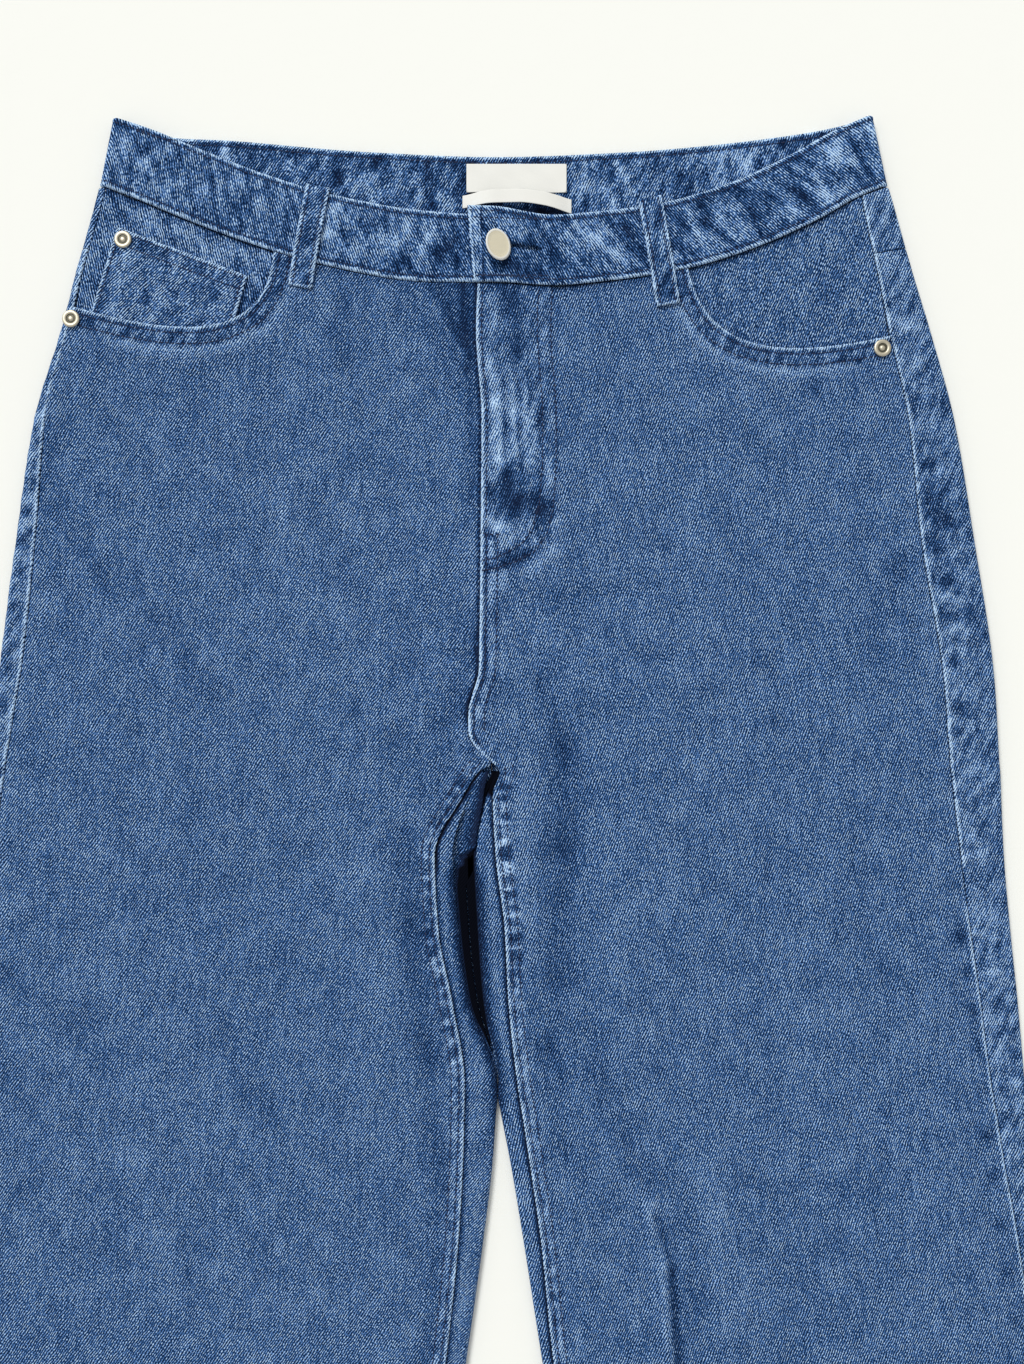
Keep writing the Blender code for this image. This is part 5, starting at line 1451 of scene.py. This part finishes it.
def waistband():
    sections = []
    high, low = bandRight[0].z, bandBack[0].z
    middle = (high + low) / 2
    fineEnds = [0, 0.12, 0.35, 0.7, 1.3]

    def stretch(rows, step):
        total = sum(math.hypot(a.x - b.x, a.y - b.y) for a, b in zip(rows, rows[1:]))
        return bandSections(rows, int(total / step))

    right = stretch(bandRight, waist["step"])
    ends = [right[-1]._replace(x=right[-1].x - d) for d in fineEnds]
    for section in ends + [s for s in reversed(right) if s.x < right[-1].x - 2.0]:
        sections.append((section, 90.0, 0.0, -1))
    curl = strip["curl"] + 3
    for k in range(1, curl):
        sections.append((bandBack[0]._replace(z=middle), 90.0 - 180.0 * k / curl, (high - low) / 2, -1))
    for section in stretch(bandBack, waist["backStep"]):
        sections.append((section, -90.0, 0.0, -1))
    for k in range(1, curl):
        sections.append((bandBack[-1]._replace(z=middle), -90.0 + 180.0 * k / curl, (high - low) / 2, 1))
    left = stretch(bandLeft, waist["step"])
    ends = [left[-1]._replace(x=left[-1].x + d) for d in reversed(fineEnds)]
    for section in [s for s in left if s.x > left[-1].x + 2.0] + ends:
        sections.append((section, 90.0, 0.0, 1))
    points, across, ups, place = [], [], [], []
    for section, angle, radius, side in sections:
        footX, footY = bandFoot(section)
        lean = math.radians(section.lean)
        outX, outY = side * math.cos(lean), -side * math.sin(lean)
        nz, flat = math.sin(math.radians(angle)), math.cos(math.radians(angle))
        for share in waist["shares"]:
            points.append((lerp(footX, section.x, share) + outX * radius * flat,
                           lerp(footY, section.y, share) + outY * radius * flat, section.z + radius * nz))
            across.append(share * section.width)
            ups.append(nz)
            place.append(side)
    points = np.array(points)
    width = len(waist["shares"])
    grid = points.reshape(-1, width, 3)
    steps = np.linalg.norm(np.diff(grid[:, width // 2], axis=0), axis=1)
    along = np.repeat(np.concatenate([[0], np.cumsum(steps)]), width)
    across, ups, place = np.array(across), np.array(ups), np.array(place)
    quads = []
    for r in range(len(sections) - 1):
        a, b = sections[r], sections[r + 1]
        overlap = a[3] > 0 and a[1] == 90.0
        for c in range(width - 1):
            hole = overlap and waist["shares"][c] >= 0.479 and waist["shares"][c + 1] <= 0.521
            if not (hole and waist["holeFrom"] < b[0].x and a[0].x < waist["holeTo"]):
                at = r * width + c
                quads.append((at, at + 1, at + width + 1, at + width))
    quads = np.array(quads)
    x, y, z = points.T
    tall = across.reshape(-1, width).max(axis=1).repeat(width)
    fromEdge = np.minimum(across, tall - across)
    onTop = ups > 0.5
    front = scatter(5, 150, (-228, 218, 440, 552), (9, 26), (1.8, 4.6), (20, 62), 0.24, 0.75)
    rightRows = [c for c in front if c.x0 < -24]
    mirrored = scatter(6, 150, (-30, 218, 440, 552), (8, 24), (1.8, 4.6), (15, 75), 0.24, 0.75)
    leftRows = [c._replace(y0=c.y1, y1=c.y0) for c in mirrored]
    height, fade = creaseSum(rightRows, x, y)
    moreL, toneL = creaseSum(leftRows, x, y)
    calm = 1 - 0.75 * after(x, -30.0, 6.0) * before(x, 50.0, 16.0)
    moreW, toneW = creaseSum(bandWear, x, y)
    height = np.where(place < 0, height, moreL * calm + moreW)
    fade = np.where(place < 0, fade, toneL * calm + toneW)
    # upright ripples on the inside of the back
    ripples = scatter(8, 110, (-215, 200, 486, 540), (16, 34), (1.7, 3.4), (76, 120), 0.30, 0.95)
    moreB, toneB = creaseSum(ripples, x, y)
    back = ups < -0.5
    height = np.where(back, -moreB, height * onTop)
    fade = np.where(back, toneB, fade)
    inside = after(fromEdge, 2.6, 2.4)
    height, fade = height * inside, fade * (0.25 + 0.75 * inside)
    # painted shade beside the button, over the buttonhole
    fade -= 0.7 * np.exp(-((x - 4.0) / 9.0) ** 2 - ((y - 471.0) / 4.5) ** 2) * (place > 0) * onTop
    # painted shade on the right band's end, which lies under the overlap
    under = (place < 0) & onTop & (x > -28)
    fade = np.where(back, fade - 0.16, fade) - 0.25 * under
    # painted shadow in the gap under the label's ribbon, on the inside of the back band
    behind = peak(y, 491.0, 2.6) * after(x, -18.0, 4.0) * before(x, 26.0, 4.0)
    fade -= 1.9 * behind * back
    # painted shade along the sunken sewn rows near the band's edges
    fade -= 0.60 * peak(fromEdge, 2.9, 0.9)
    end = along.max() - along
    edge = np.minimum(fromEdge, np.where(place > 0, end, 60.0))
    endStrip = before(end, 6.4, 1.2) * (place > 0)
    lines = 0.45 + 0.4 * np.cos(2 * math.pi * (end - 1.0) / 2.2)
    fade = fade * (1 - 0.7 * endStrip) + lines * endStrip - 0.9 * peak(end, 6.6, 0.8) * (place > 0)
    faint = (place > 0) * onTop * (across < 6.0) * after(x, -24.0, 4.0) * before(x, 40.0, 12.0)
    edge = edge + 0.9 * faint
    height += rope(edge, 0.22, 0.9) + groove(fromEdge, sewing["band"], 0.12)
    height = np.where(back, np.minimum(height, z - cloth["bandWall"] / 2 - 0.02), height)
    grain = np.stack([along, across], 1)
    return thinWall("waistbandCloth", points, [quads], cloth["bandWall"], grain, edge, fade, 1.0, bandDenim,
                    rounding=1.1, lift=height)


band = waistband()
print("waistband laid")

# belt loops
loops = {
    "beltLoopFrontRight": ("belt_loop_front_right", (-119.0, 448.4), (-109.0, 502.3), 0.3),
    "beltLoopFrontLeft": ("belt_loop_front_left", (82.8, 438.4), (72.7, 496.2), 1.0),
}
backLoops = {"beltLoopBackRight": ("belt_loop_back_right", -144.0),
             "beltLoopBackCentre": ("belt_loop_back_centre", -12.0),
             "beltLoopBackLeft": ("belt_loop_back_left", 119.0)}
loopWidth = 13.2


def frontLoop(name, foot, head, rise):
    length = math.hypot(head[0] - foot[0], head[1] - foot[1])
    ux, uy = (head[0] - foot[0]) / length, (head[1] - foot[1]) / length
    half = cloth["loopWall"] / 2
    low = cloth["hipTop"] + rise + cloth["wall"] / 2 + cloth["gap"] + half
    high = bandRight[0].z + cloth["bandWall"] / 2 + cloth["gap"] + half
    past = length + cloth["gap"] + half
    knots = np.array([(0.0, low), (length * 0.13, low), (length * 0.24, high + 0.3),
                      (length * 0.42, high + 0.9),
                      (length * 0.62, high + 1.0), (length * 0.82, high + 0.5), (length - 1.0, high),
                      (past - 0.3, high - 0.7), (past, high - 3.2)])
    marks = np.concatenate([[0, 0.002, 0.006, 0.012], np.linspace(0.03, 0.97, 40), np.linspace(0.98, 1.0, 6)])
    runs = arcs(knots)
    s = follow(runs, knots[:, 0])(marks * runs[-1])
    z = follow(runs, knots[:, 1])(marks * runs[-1])
    sides = np.array([0, 0.12, 0.35, 0.7, 1.3, 2.0, 2.8, 3.8, 5.2, 6.6])
    sides = np.concatenate([sides, loopWidth - sides[-2::-1]]) - loopWidth / 2
    points, grain, seam = [], [], []
    for k in range(len(s)):
        for w in sides:
            points.append((foot[0] + ux * s[k] + uy * w, foot[1] + uy * s[k] - ux * w, z[k]))
            grain.append((w, marks[k] * runs[-1]))
            seam.append(min(loopWidth / 2 - abs(w), marks[k] * runs[-1]))
    quads = gridQuads(len(s), len(sides))
    grain, seam = np.array(grain), np.array(seam)
    height, fade = creaseSum(scatter(len(name) + int(foot[0]), 26, (-6.6, 6.6, 0, 62), (4, 12), (1.2, 2.6),
                                     (40, 80),
                                     0.10, 0.42), grain[:, 0], grain[:, 1])
    middle = peak(grain[:, 0], 0, 1.6)
    height = height - 0.16 * middle + 0.12 * peak(seam, 1.0, 0.9)
    fade = fade - 0.22 * peak(grain[:, 1], 6.5, 1.6) - 0.2 * peak(seam, 2.6, 0.6)
    return thinWall(name, points, [quads[:, ::-1]], cloth["loopWall"], grain, seam, fade, 0.7, bandDenim,
                    lift=-height)


def flatPatch(name, outline, low, wall, warp, material):
    # a plain cut that lies level, such as a patch pocket
    edges = closedEdges(outline)
    panel = Panel(edges, fine=3.0, cell=5.0, rings=[0.12, 0.35, 0.7, 2.0, 4.5])
    x, y = panel.points.T
    away = np.min([panel.away(label)[0] for label, _ in edges], axis=0)
    points = np.stack([x, y, np.full(len(x), low + wall / 2)], 1)
    # painted shade along a sunken row near the edge
    return thinWall(name, points, [panel.faces], wall, flatGrain(panel.points, warp), away,
                    -0.2 * peak(away, 2.8, 0.9), 0.5, material, normals=upward)


loopPieces = {}
for name, (node, foot, head, rise) in loops.items():
    loopPieces[node] = frontLoop(name, foot, head, rise)
for name, (node, middle) in backLoops.items():
    foot = float(seamBack(middle)) - 12.0
    head = foot + 12.0 + cloth["bandWidth"]
    left, right = middle - loopWidth / 2, middle + loopWidth / 2
    loopPieces[node] = flatPatch(name, [(left, foot), (right, foot), (right, head), (left, head)], 0.0,
                                 cloth["padWall"], 90.0, bandDenim)
backPockets = {"backPocketRight": ("back_pocket_right", -133.0),
               "backPocketLeft": ("back_pocket_left", 109.0)}
pocketShape = {"topHalf": 76.0, "footHalf": 66.0, "top": 424.0, "shoulder": 292.0, "point": 268.0,
               "slant": 8.0}


def pocketOutline(middle):
    # from one top corner down round the point and up to the other
    p = pocketShape
    slant = p["slant"] if middle < cut["centreBack"] else -p["slant"]
    return [(middle - p["topHalf"], p["top"] - slant), (middle - p["footHalf"], p["shoulder"]),
            (middle, p["point"]),
            (middle + p["footHalf"], p["shoulder"]), (middle + p["topHalf"], p["top"] + slant)]


pocketPieces = {}
for name, (node, middle) in backPockets.items():
    pocketPieces[node] = flatPatch(name, pocketOutline(middle), 0.0, cloth["padWall"], 90.0, pocketDenim)
print("loops and back pockets laid")


# hardware
def turned(name, centre, rings, sides, materials, banding, tilt=None):
    points, faces, kinds = [], [], []
    for radius, height in rings[1:-1]:
        angle = tilt(height) if tilt else 0.0
        for k in range(sides):
            around = 2 * math.pi * k / sides
            x, y = radius * math.cos(around), radius * math.sin(around)
            points.append((centre[0] + x * math.cos(angle), centre[1] + y,
                           centre[2] + height + x * math.sin(angle)))
    for k in range(len(rings) - 3):
        for s in range(sides):
            a, b = k * sides + s, k * sides + (s + 1) % sides
            faces.append((a, b, b + sides, a + sides))
            kinds.append(banding[k])
    points += [(centre[0], centre[1], centre[2] + height) for height in (rings[0][1], rings[-1][1])]
    first, last, top = len(points) - 2, len(points) - 1, (len(rings) - 3) * sides
    for s in range(sides):
        faces += [((s + 1) % sides, s, first), (top + s, top + (s + 1) % sides, last)]
        kinds += [0, 0]
    mesh = bpy.data.meshes.new(name)
    mesh.from_pydata([tuple(c * scale for c in p) for p in points], [], faces)
    for material in materials:
        mesh.materials.append(material)
    mesh.polygons.foreach_set("material_index", kinds)
    mesh.shade_smooth()
    mesh.set_sharp_from_angle(angle=math.radians(40.0))
    piece = bpy.data.objects.new(name, mesh)
    bpy.context.collection.objects.link(piece)
    return piece


rivets = {"rivetCoin": ("rivet_coin", -216.0, 474.6, 6.7), "rivetRight": ("rivet_right", -243.6, 430.4, 9.0),
          "rivetLeft": ("rivet_left", 200.0, 414.8, 7.6)}
buttonShape = {"centre": (-10.1, 469.0), "radius": 8.35, "tilt": -36.0}
rivetRadius = 4.75
hardware = {}
for name, (node, x, y, z) in rivets.items():
    r = rivetRadius
    rings = [(0, 0), (r * 0.9, 0), (r * 0.985, 0.2), (r, 0.45), (r * 0.985, 0.75), (r * 0.93, 1.0),
             (r * 0.84, 1.16),
             (r * 0.72, 1.18), (r * 0.62, 1.08), (r * 0.55, 0.85), (r * 0.49, 0.5), (r * 0.36, 0.45),
             (r * 0.32, 0.55),
             (r * 0.27, 0.95), (r * 0.17, 1.15), (r * 0.08, 1.2), (0, 1.22)]
    banding = [0] * 8 + [1, 1, 1, 0, 0, 0, 0]
    hardware[node] = turned(name, (x, y, z), rings, 40, [metal, darkMetal], banding)


def shankButton():
    r, tilt = buttonShape["radius"], math.radians(buttonShape["tilt"])
    base = bandRight[-1].z + cloth["bandWall"] / 2 + cloth["gap"]
    under = bandLeft[-1].z + cloth["bandWall"] / 2 + cloth["gap"] - base
    lift = under + r * math.sin(abs(tilt)) - 0.8
    rings = [(0, 0), (1.7, 0), (1.7, 0.8), (1.6, under), (2.0, lift - 0.9), (3.2, lift - 0.2),
             (r * 0.93, lift),
             (r * 0.985, lift + 0.25), (r, lift + 0.6), (r * 0.995, lift + 1.0), (r * 0.97, lift + 1.4),
             (r * 0.93, lift + 1.62), (r * 0.88, lift + 1.68), (r * 0.84, lift + 1.6), (r * 0.80, lift + 1.5),
             (r * 0.6, lift + 1.48), (r * 0.4, lift + 1.48), (r * 0.2, lift + 1.48), (0, lift + 1.48)]
    return turned("shankButton", (*buttonShape["centre"], base), rings, 72, [buttonMetal, buttonRimHighlight],
                  [0] * 7 + [1] * 5 + [0] * 5,
                  lambda height: tilt * float(ease((height - under) / (lift - 0.2 - under))))


hardware["button"] = shankButton()
print("button and rivets turned")

# labels, both bare
labelShape = {"left": -27.8, "right": 27.3, "foot": 501.2, "head": 517.0, "ribbonHalf": 30.0}


def labels():
    low = bandBack[4].z + cloth["bandWall"] / 2 + cloth["gap"]
    wall = cloth["labelWall"]
    outline = [(labelShape["left"], labelShape["foot"]), (labelShape["right"], labelShape["foot"]),
               (labelShape["right"], labelShape["head"]), (labelShape["left"], labelShape["head"])]
    panel = Panel(closedEdges(outline), fine=1.2, cell=1.5, rings=[0.1, 0.25, 0.6, 1.2])
    x, y = panel.points.T
    wave = 0.22 * np.sin(x / 5.2 + 0.6) * np.sin(y / 6.0) + 0.18 * np.sin(x / 2.6 + y / 3.0)
    z = low + wall / 2 + 0.3 + wave * ease((labelShape["head"] - y) / 8.0)
    points = np.stack([x, y, z], 1)
    main = thinWall("labelWoven", points, [panel.faces], wall, flatGrain(panel.points, 90.0), noEdge, 0.0,
                    0.0,
                    labelWeave, rounding=0.25, normals=upward)
    half = labelShape["ribbonHalf"]
    ribbonHead = follow([-1, -0.5, 0, 0.5, 1], [499.6, 501.4, 501.8, 500.4, 497.4])
    ribbonFoot = follow([-1, -0.5, 0, 0.5, 1], [492.6, 494.2, 494.6, 493.0, 489.6])
    us = np.concatenate([[-1, -0.995, -0.985], np.linspace(-0.96, 0.96, 60), [0.985, 0.995, 1]])
    vs = [0, 0.02, 0.06, 0.15, 0.3, 0.5, 0.7, 0.85, 0.94, 0.98, 1.0]
    points, grain = [], []
    for v in vs:
        for u in us:
            bow = 1 - u * u
            y = float(lerp(ribbonFoot(u), ribbonHead(u), v))
            z = low + wall / 2 + 3.6 * float(ease(bow * 1.15)) + 0.15 * math.sin(u * 9.0)
            points.append((u * half, y, z))
            grain.append((u * half, y))
    quads = gridQuads(len(vs), len(us))
    ribbon = thinWall("labelRibbon", points, [quads], wall, grain, noEdge, 0.0, 0.0, labelWeave,
                      rounding=0.25)
    return main, ribbon


labelMain, labelRibbon = labels()
print("labels laid")

# topstitching: lines on the cloth become rows of stitches
stitch = {"pitch": 3.0, "gap": 0.5, "thick": 0.85, "lift": -0.08, "sides": 6, "rings": 4}


def treeOf(piece):
    mesh = piece.data
    corners = [v.co.copy() for v in mesh.vertices]
    return BVHTree.FromPolygons(corners, [tuple(f.vertices) for f in mesh.polygons])


def onto(lines, pieces, fromBelow=False):
    # drops plan lines on the highest of the given pieces
    found = []
    bvhs = [treeOf(piece) for piece in pieces]
    for line in lines:
        laid = []
        for x, y in np.asarray(line, float):
            origin = Vector((x * scale, y * scale, -0.05 if fromBelow else 0.05))
            hits = [t.ray_cast(origin, Vector((0, 0, 1 if fromBelow else -1)))[0] for t in bvhs]
            hits = [h.z for h in hits if h is not None]
            if hits:
                z = min(hits) - stitch["lift"] * scale if fromBelow else max(hits) + stitch["lift"] * scale
                laid.append((x * scale, y * scale, z))
            elif len(laid) > 3:
                found.append(laid)
                laid = []
        if len(laid) > 3:
            found.append(laid)
    return found


def inset(line, depth, left=True):
    line = np.asarray(line, float)
    ahead = np.gradient(line, axis=0)
    ahead /= np.maximum(np.hypot(ahead[:, 0], ahead[:, 1]), 1e-6)[:, None]
    side = np.stack([-ahead[:, 1], ahead[:, 0]], 1) * (1 if left else -1)
    return line + side * depth


def hemLine(leg, first, last, short):
    # the hem's row between two lines of a leg, each end left short
    o = leg.outward
    start, end = (leg.place(line, cut["hemY"] + sewing["hem"]) for line in (first, last))
    return np.stack([np.linspace(start[0] + short * o, end[0] - short * o, 120),
                     np.linspace(start[1], end[1], 120)], 1)


def bandLine(sections, depth):
    # a row along the waistband, from its upper edge, or from its foot where depth is negative
    line = []
    for s in sections:
        lean = math.radians(s.lean)
        at = depth if depth > 0 else s.width + depth
        line.append((s.x - at * math.sin(lean), s.y - at * math.cos(lean)))
    return line


def seamLines():
    rows = []
    for leg, opening, top, lap in ((rightLeg, rightOpening, seamRight, cloth["flyLap"]),
                                   (leftLeg, leftOpening, seamLeft, 0.0)):
        o = leg.outward
        front = frontRight if o < 0 else frontLeft
        mouth = np.stack(bezier(opening, np.linspace(0.01, 0.985, 140)), 1)
        rows += onto([inset(mouth, d, left=o < 0) for d in sewing["mouth"]], [front])
        fly = flyLine(leg, lap)
        inseam = fly[(fly[:, 1] < 184) & (fly[:, 1] > -522)]
        rows += onto([inset(inseam, d, left=o > 0) for d in sewing["inseam"]], [front])
        rows += onto([hemLine(leg, leg.centre, leg.side, 3)], [front])
    fly = flyLine(leftLeg, 0.0)
    upper = fly[(fly[:, 1] > 316) & (fly[:, 1] < 446)]
    rows += onto([inset(upper, sewing["fly"])] + flyRows(), [frontLeft])
    # waistband edges, outside and inside
    for rowsOf in (bandRight, bandLeft):
        for depth in (sewing["band"], -sewing["band"]):
            rows += onto([bandLine(bandSections(rowsOf, 120), depth)], [band])
    rows += onto([bandLine(bandSections(bandBack, 160)[8:-8], sewing["bandInside"])], [band])
    # coin pocket
    a, b, c, d = [np.array(p) for p in coin["corners"]]
    for start, end, depths in ((a, b, sewing["coinHead"]), (b, c, (sewing["coinSide"],)),
                               (d, a, (sewing["coinSide"],))):
        line = np.linspace(start, end, 60)[2:-2]
        rows += onto([inset(line, depth, left=False) for depth in depths], [coinPiece])
    # loops
    for node, foot, head, _ in loops.values():
        line = np.linspace(foot, head, 50)[2:-1]
        rows += onto([inset(line, sewing["loop"], left) for left in (True, False)], [loopPieces[node]])
    return rows


def underLines():
    rows = []
    for node, middle in backPockets.values():
        piece = pocketPieces[node]
        shape = np.array(pocketOutline(middle))
        centre = np.array([middle, 360.0])
        for shrink in sewing["pocketSides"]:
            small = shape + (centre - shape) * shrink / 74.0  # the pocket's half width is about 74
            line = [p for start, end in zip(small, small[1:]) for p in np.linspace(start, end, 40)]
            rows += onto([line], [piece], True)
        for drop in sewing["pocketTop"]:
            rows += onto([np.linspace(shape[0] + (3, -drop), shape[-1] + (-3, -drop), 60)], [piece], True)
    for leg, piece in ((rightLeg, backRight), (leftLeg, backLeft)):
        xs = np.linspace(leg.outer(470.0) - leg.outward * 8, cut["centreBack"] + leg.outward * 4, 120)
        rows += onto([np.stack([xs, yokeLine(leg, xs, False) - d], 1) for d in sewing["yoke"]], [piece], True)
        ys = np.linspace(410, 200, 90)
        rows += onto([np.stack([leg.back(ys) + leg.outward * sewing["centreBack"], ys], 1)], [piece], True)
        rows += onto([hemLine(leg, leg.fold, leg.outer, 8)], [piece], True)
    for depth in (sewing["band"], -sewing["band"]):
        rows += onto([bandLine(bandSections(bandBack, 160)[6:-6], depth)], [band], True)
    return rows


def stitchTree():
    # each line is cut into stitches of even pitch, each a small thread-coloured bead
    tree = bpy.data.node_groups.new("stitchRows", "GeometryNodeTree")
    tree.interface.new_socket(name="Geometry", in_out="INPUT", socket_type="NodeSocketGeometry")
    ids = {}
    for label, value in (("Pitch", stitch["pitch"] * scale), ("Gap", stitch["gap"] * scale),
                         ("Thickness", stitch["thick"] * scale)):
        socket = tree.interface.new_socket(name=label, in_out="INPUT", socket_type="NodeSocketFloat")
        socket.default_value = value
        ids[label] = socket.identifier
    socket = tree.interface.new_socket(name="Thread", in_out="INPUT", socket_type="NodeSocketMaterial")
    ids["Thread"] = socket.identifier
    tree.interface.new_socket(name="Geometry", in_out="OUTPUT", socket_type="NodeSocketGeometry")
    new, link = tree.nodes.new, tree.links.new
    given, out = new("NodeGroupInput"), new("NodeGroupOutput")
    toPoints = new("GeometryNodeCurveToPoints")
    toPoints.mode = "LENGTH"
    link(given.outputs["Geometry"], toPoints.inputs["Curve"])
    link(given.outputs["Pitch"], toPoints.inputs["Length"])
    bead = new("GeometryNodeMeshUVSphere")
    bead.inputs["Segments"].default_value = stitch["sides"]
    bead.inputs["Rings"].default_value = stitch["rings"]
    bead.inputs["Radius"].default_value = 0.5
    lengthOf = new("ShaderNodeMath")
    lengthOf.operation = "SUBTRACT"
    link(given.outputs["Pitch"], lengthOf.inputs[0])
    link(given.outputs["Gap"], lengthOf.inputs[1])
    size = new("ShaderNodeCombineXYZ")
    link(given.outputs["Thickness"], size.inputs[0])
    link(given.outputs["Thickness"], size.inputs[1])
    link(lengthOf.outputs[0], size.inputs[2])
    spread = new("GeometryNodeInstanceOnPoints")
    link(toPoints.outputs["Points"], spread.inputs["Points"])
    link(bead.outputs["Mesh"], spread.inputs["Instance"])
    link(toPoints.outputs["Rotation"], spread.inputs["Rotation"])
    link(size.outputs[0], spread.inputs["Scale"])
    real = new("GeometryNodeRealizeInstances")
    link(spread.outputs[0], real.inputs[0])
    paint = new("GeometryNodeSetMaterial")
    link(real.outputs[0], paint.inputs["Geometry"])
    link(given.outputs["Thread"], paint.inputs["Material"])
    smooth = new("GeometryNodeSetShadeSmooth")
    link(paint.outputs[0], smooth.inputs[0])
    link(smooth.outputs[0], out.inputs[0])
    return tree, ids


def sewn(name, rows, tree, ids):
    curve = bpy.data.curves.new(name + "Lines", "CURVE")
    curve.dimensions = "3D"
    for row in rows:
        spline = curve.splines.new("POLY")
        spline.points.add(len(row) - 1)
        spline.points.foreach_set("co", [c for p in row for c in (*p, 1.0)])
    source = bpy.data.objects.new(name + "Lines", curve)
    bpy.context.collection.objects.link(source)
    modifier = source.modifiers.new("stitches", "NODES")
    modifier.node_group = tree
    modifier[ids["Pitch"]] = stitch["pitch"] * scale
    modifier[ids["Gap"]] = stitch["gap"] * scale
    modifier[ids["Thickness"]] = stitch["thick"] * scale
    modifier[ids["Thread"]] = thread
    graph = bpy.context.evaluated_depsgraph_get()
    mesh = bpy.data.meshes.new_from_object(source.evaluated_get(graph), depsgraph=graph)
    mesh.name = name
    piece = bpy.data.objects.new(name, mesh)
    bpy.context.collection.objects.link(piece)
    bpy.data.objects.remove(source, do_unlink=True)
    print(name, "rows", len(rows), "faces", len(mesh.polygons))
    return piece


stitchGroup, stitchIds = stitchTree()
topStitches = sewn("topstitching", seamLines(), stitchGroup, stitchIds)
underStitches = sewn("underStitching", underLines(), stitchGroup, stitchIds)

# every piece rides on the one body
wear(backRight, ["back_right"])
wear(backLeft, ["back_left"])
wear(yokeRight, ["yoke_right"])
wear(yokeLeft, ["yoke_left"])
wear(frontRight, ["front_right"])
wear(frontLeft, ["front_left"])
wear(facingRight, ["pocket_facing_right"])
wear(facingLeft, ["pocket_facing_left"])
wear(coinPiece, ["coin_pocket"])
wear(band, ["waistband"])
for node, piece in loopPieces.items():
    wear(piece, [node])
for node, piece in pocketPieces.items():
    wear(piece, [node])
wear(labelMain, ["label"])
wear(labelRibbon, ["label_loop"])
for node, piece in hardware.items():
    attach(piece, body)
    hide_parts(node)
for piece in (topStitches, underStitches):
    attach(piece, body)

# stage, light and camera
studio = {
    "floorColour": srgb(250, 251, 245), "worldColour": (1.0, 0.995, 0.98, 1.0), "worldStrength": 0.53,
    "sunFrom": (-0.55, 0.75, 1.0), "sunAngle": 24.0, "sunPower": 2.05,
    "cameraPlace": (-0.00275, 0.232, 0.630), "lens": 30.0,
}
floorMesh = bpy.data.meshes.new("floor")
half = 4.0
floorCorners = [(-half, -half, 0), (half, -half, 0), (half, half, 0), (-half, half, 0)]
floorMesh.from_pydata(floorCorners, [], [(0, 1, 2, 3)])
floorMesh.materials.append(plainMaterial("paper", studio["floorColour"], 0.9, 0.0, 60.0, 0.0001, 0.004))
floor = bpy.data.objects.new("floor", floorMesh)
bpy.context.collection.objects.link(floor)

world = bpy.data.worlds.new("studio")
bpy.context.scene.world = world
world.use_nodes = True
world.node_tree.nodes["Background"].inputs["Color"].default_value = studio["worldColour"]
world.node_tree.nodes["Background"].inputs["Strength"].default_value = studio["worldStrength"]
lamp = bpy.data.lights.new("key", "SUN")
lamp.energy = studio["sunPower"]
lamp.angle = math.radians(studio["sunAngle"])
key = bpy.data.objects.new("key", lamp)
key.rotation_euler = Vector(studio["sunFrom"]).to_track_quat("Z", "Y").to_euler()
bpy.context.collection.objects.link(key)

camera = bpy.data.cameras.new("camera")
camera.lens = studio["lens"]
camera.sensor_width = 36.0
view = bpy.data.objects.new("camera", camera)
view.location = studio["cameraPlace"]
bpy.context.collection.objects.link(view)
bpy.context.scene.camera = view
bpy.context.scene.view_settings.view_transform = "Standard"
print("stage set")
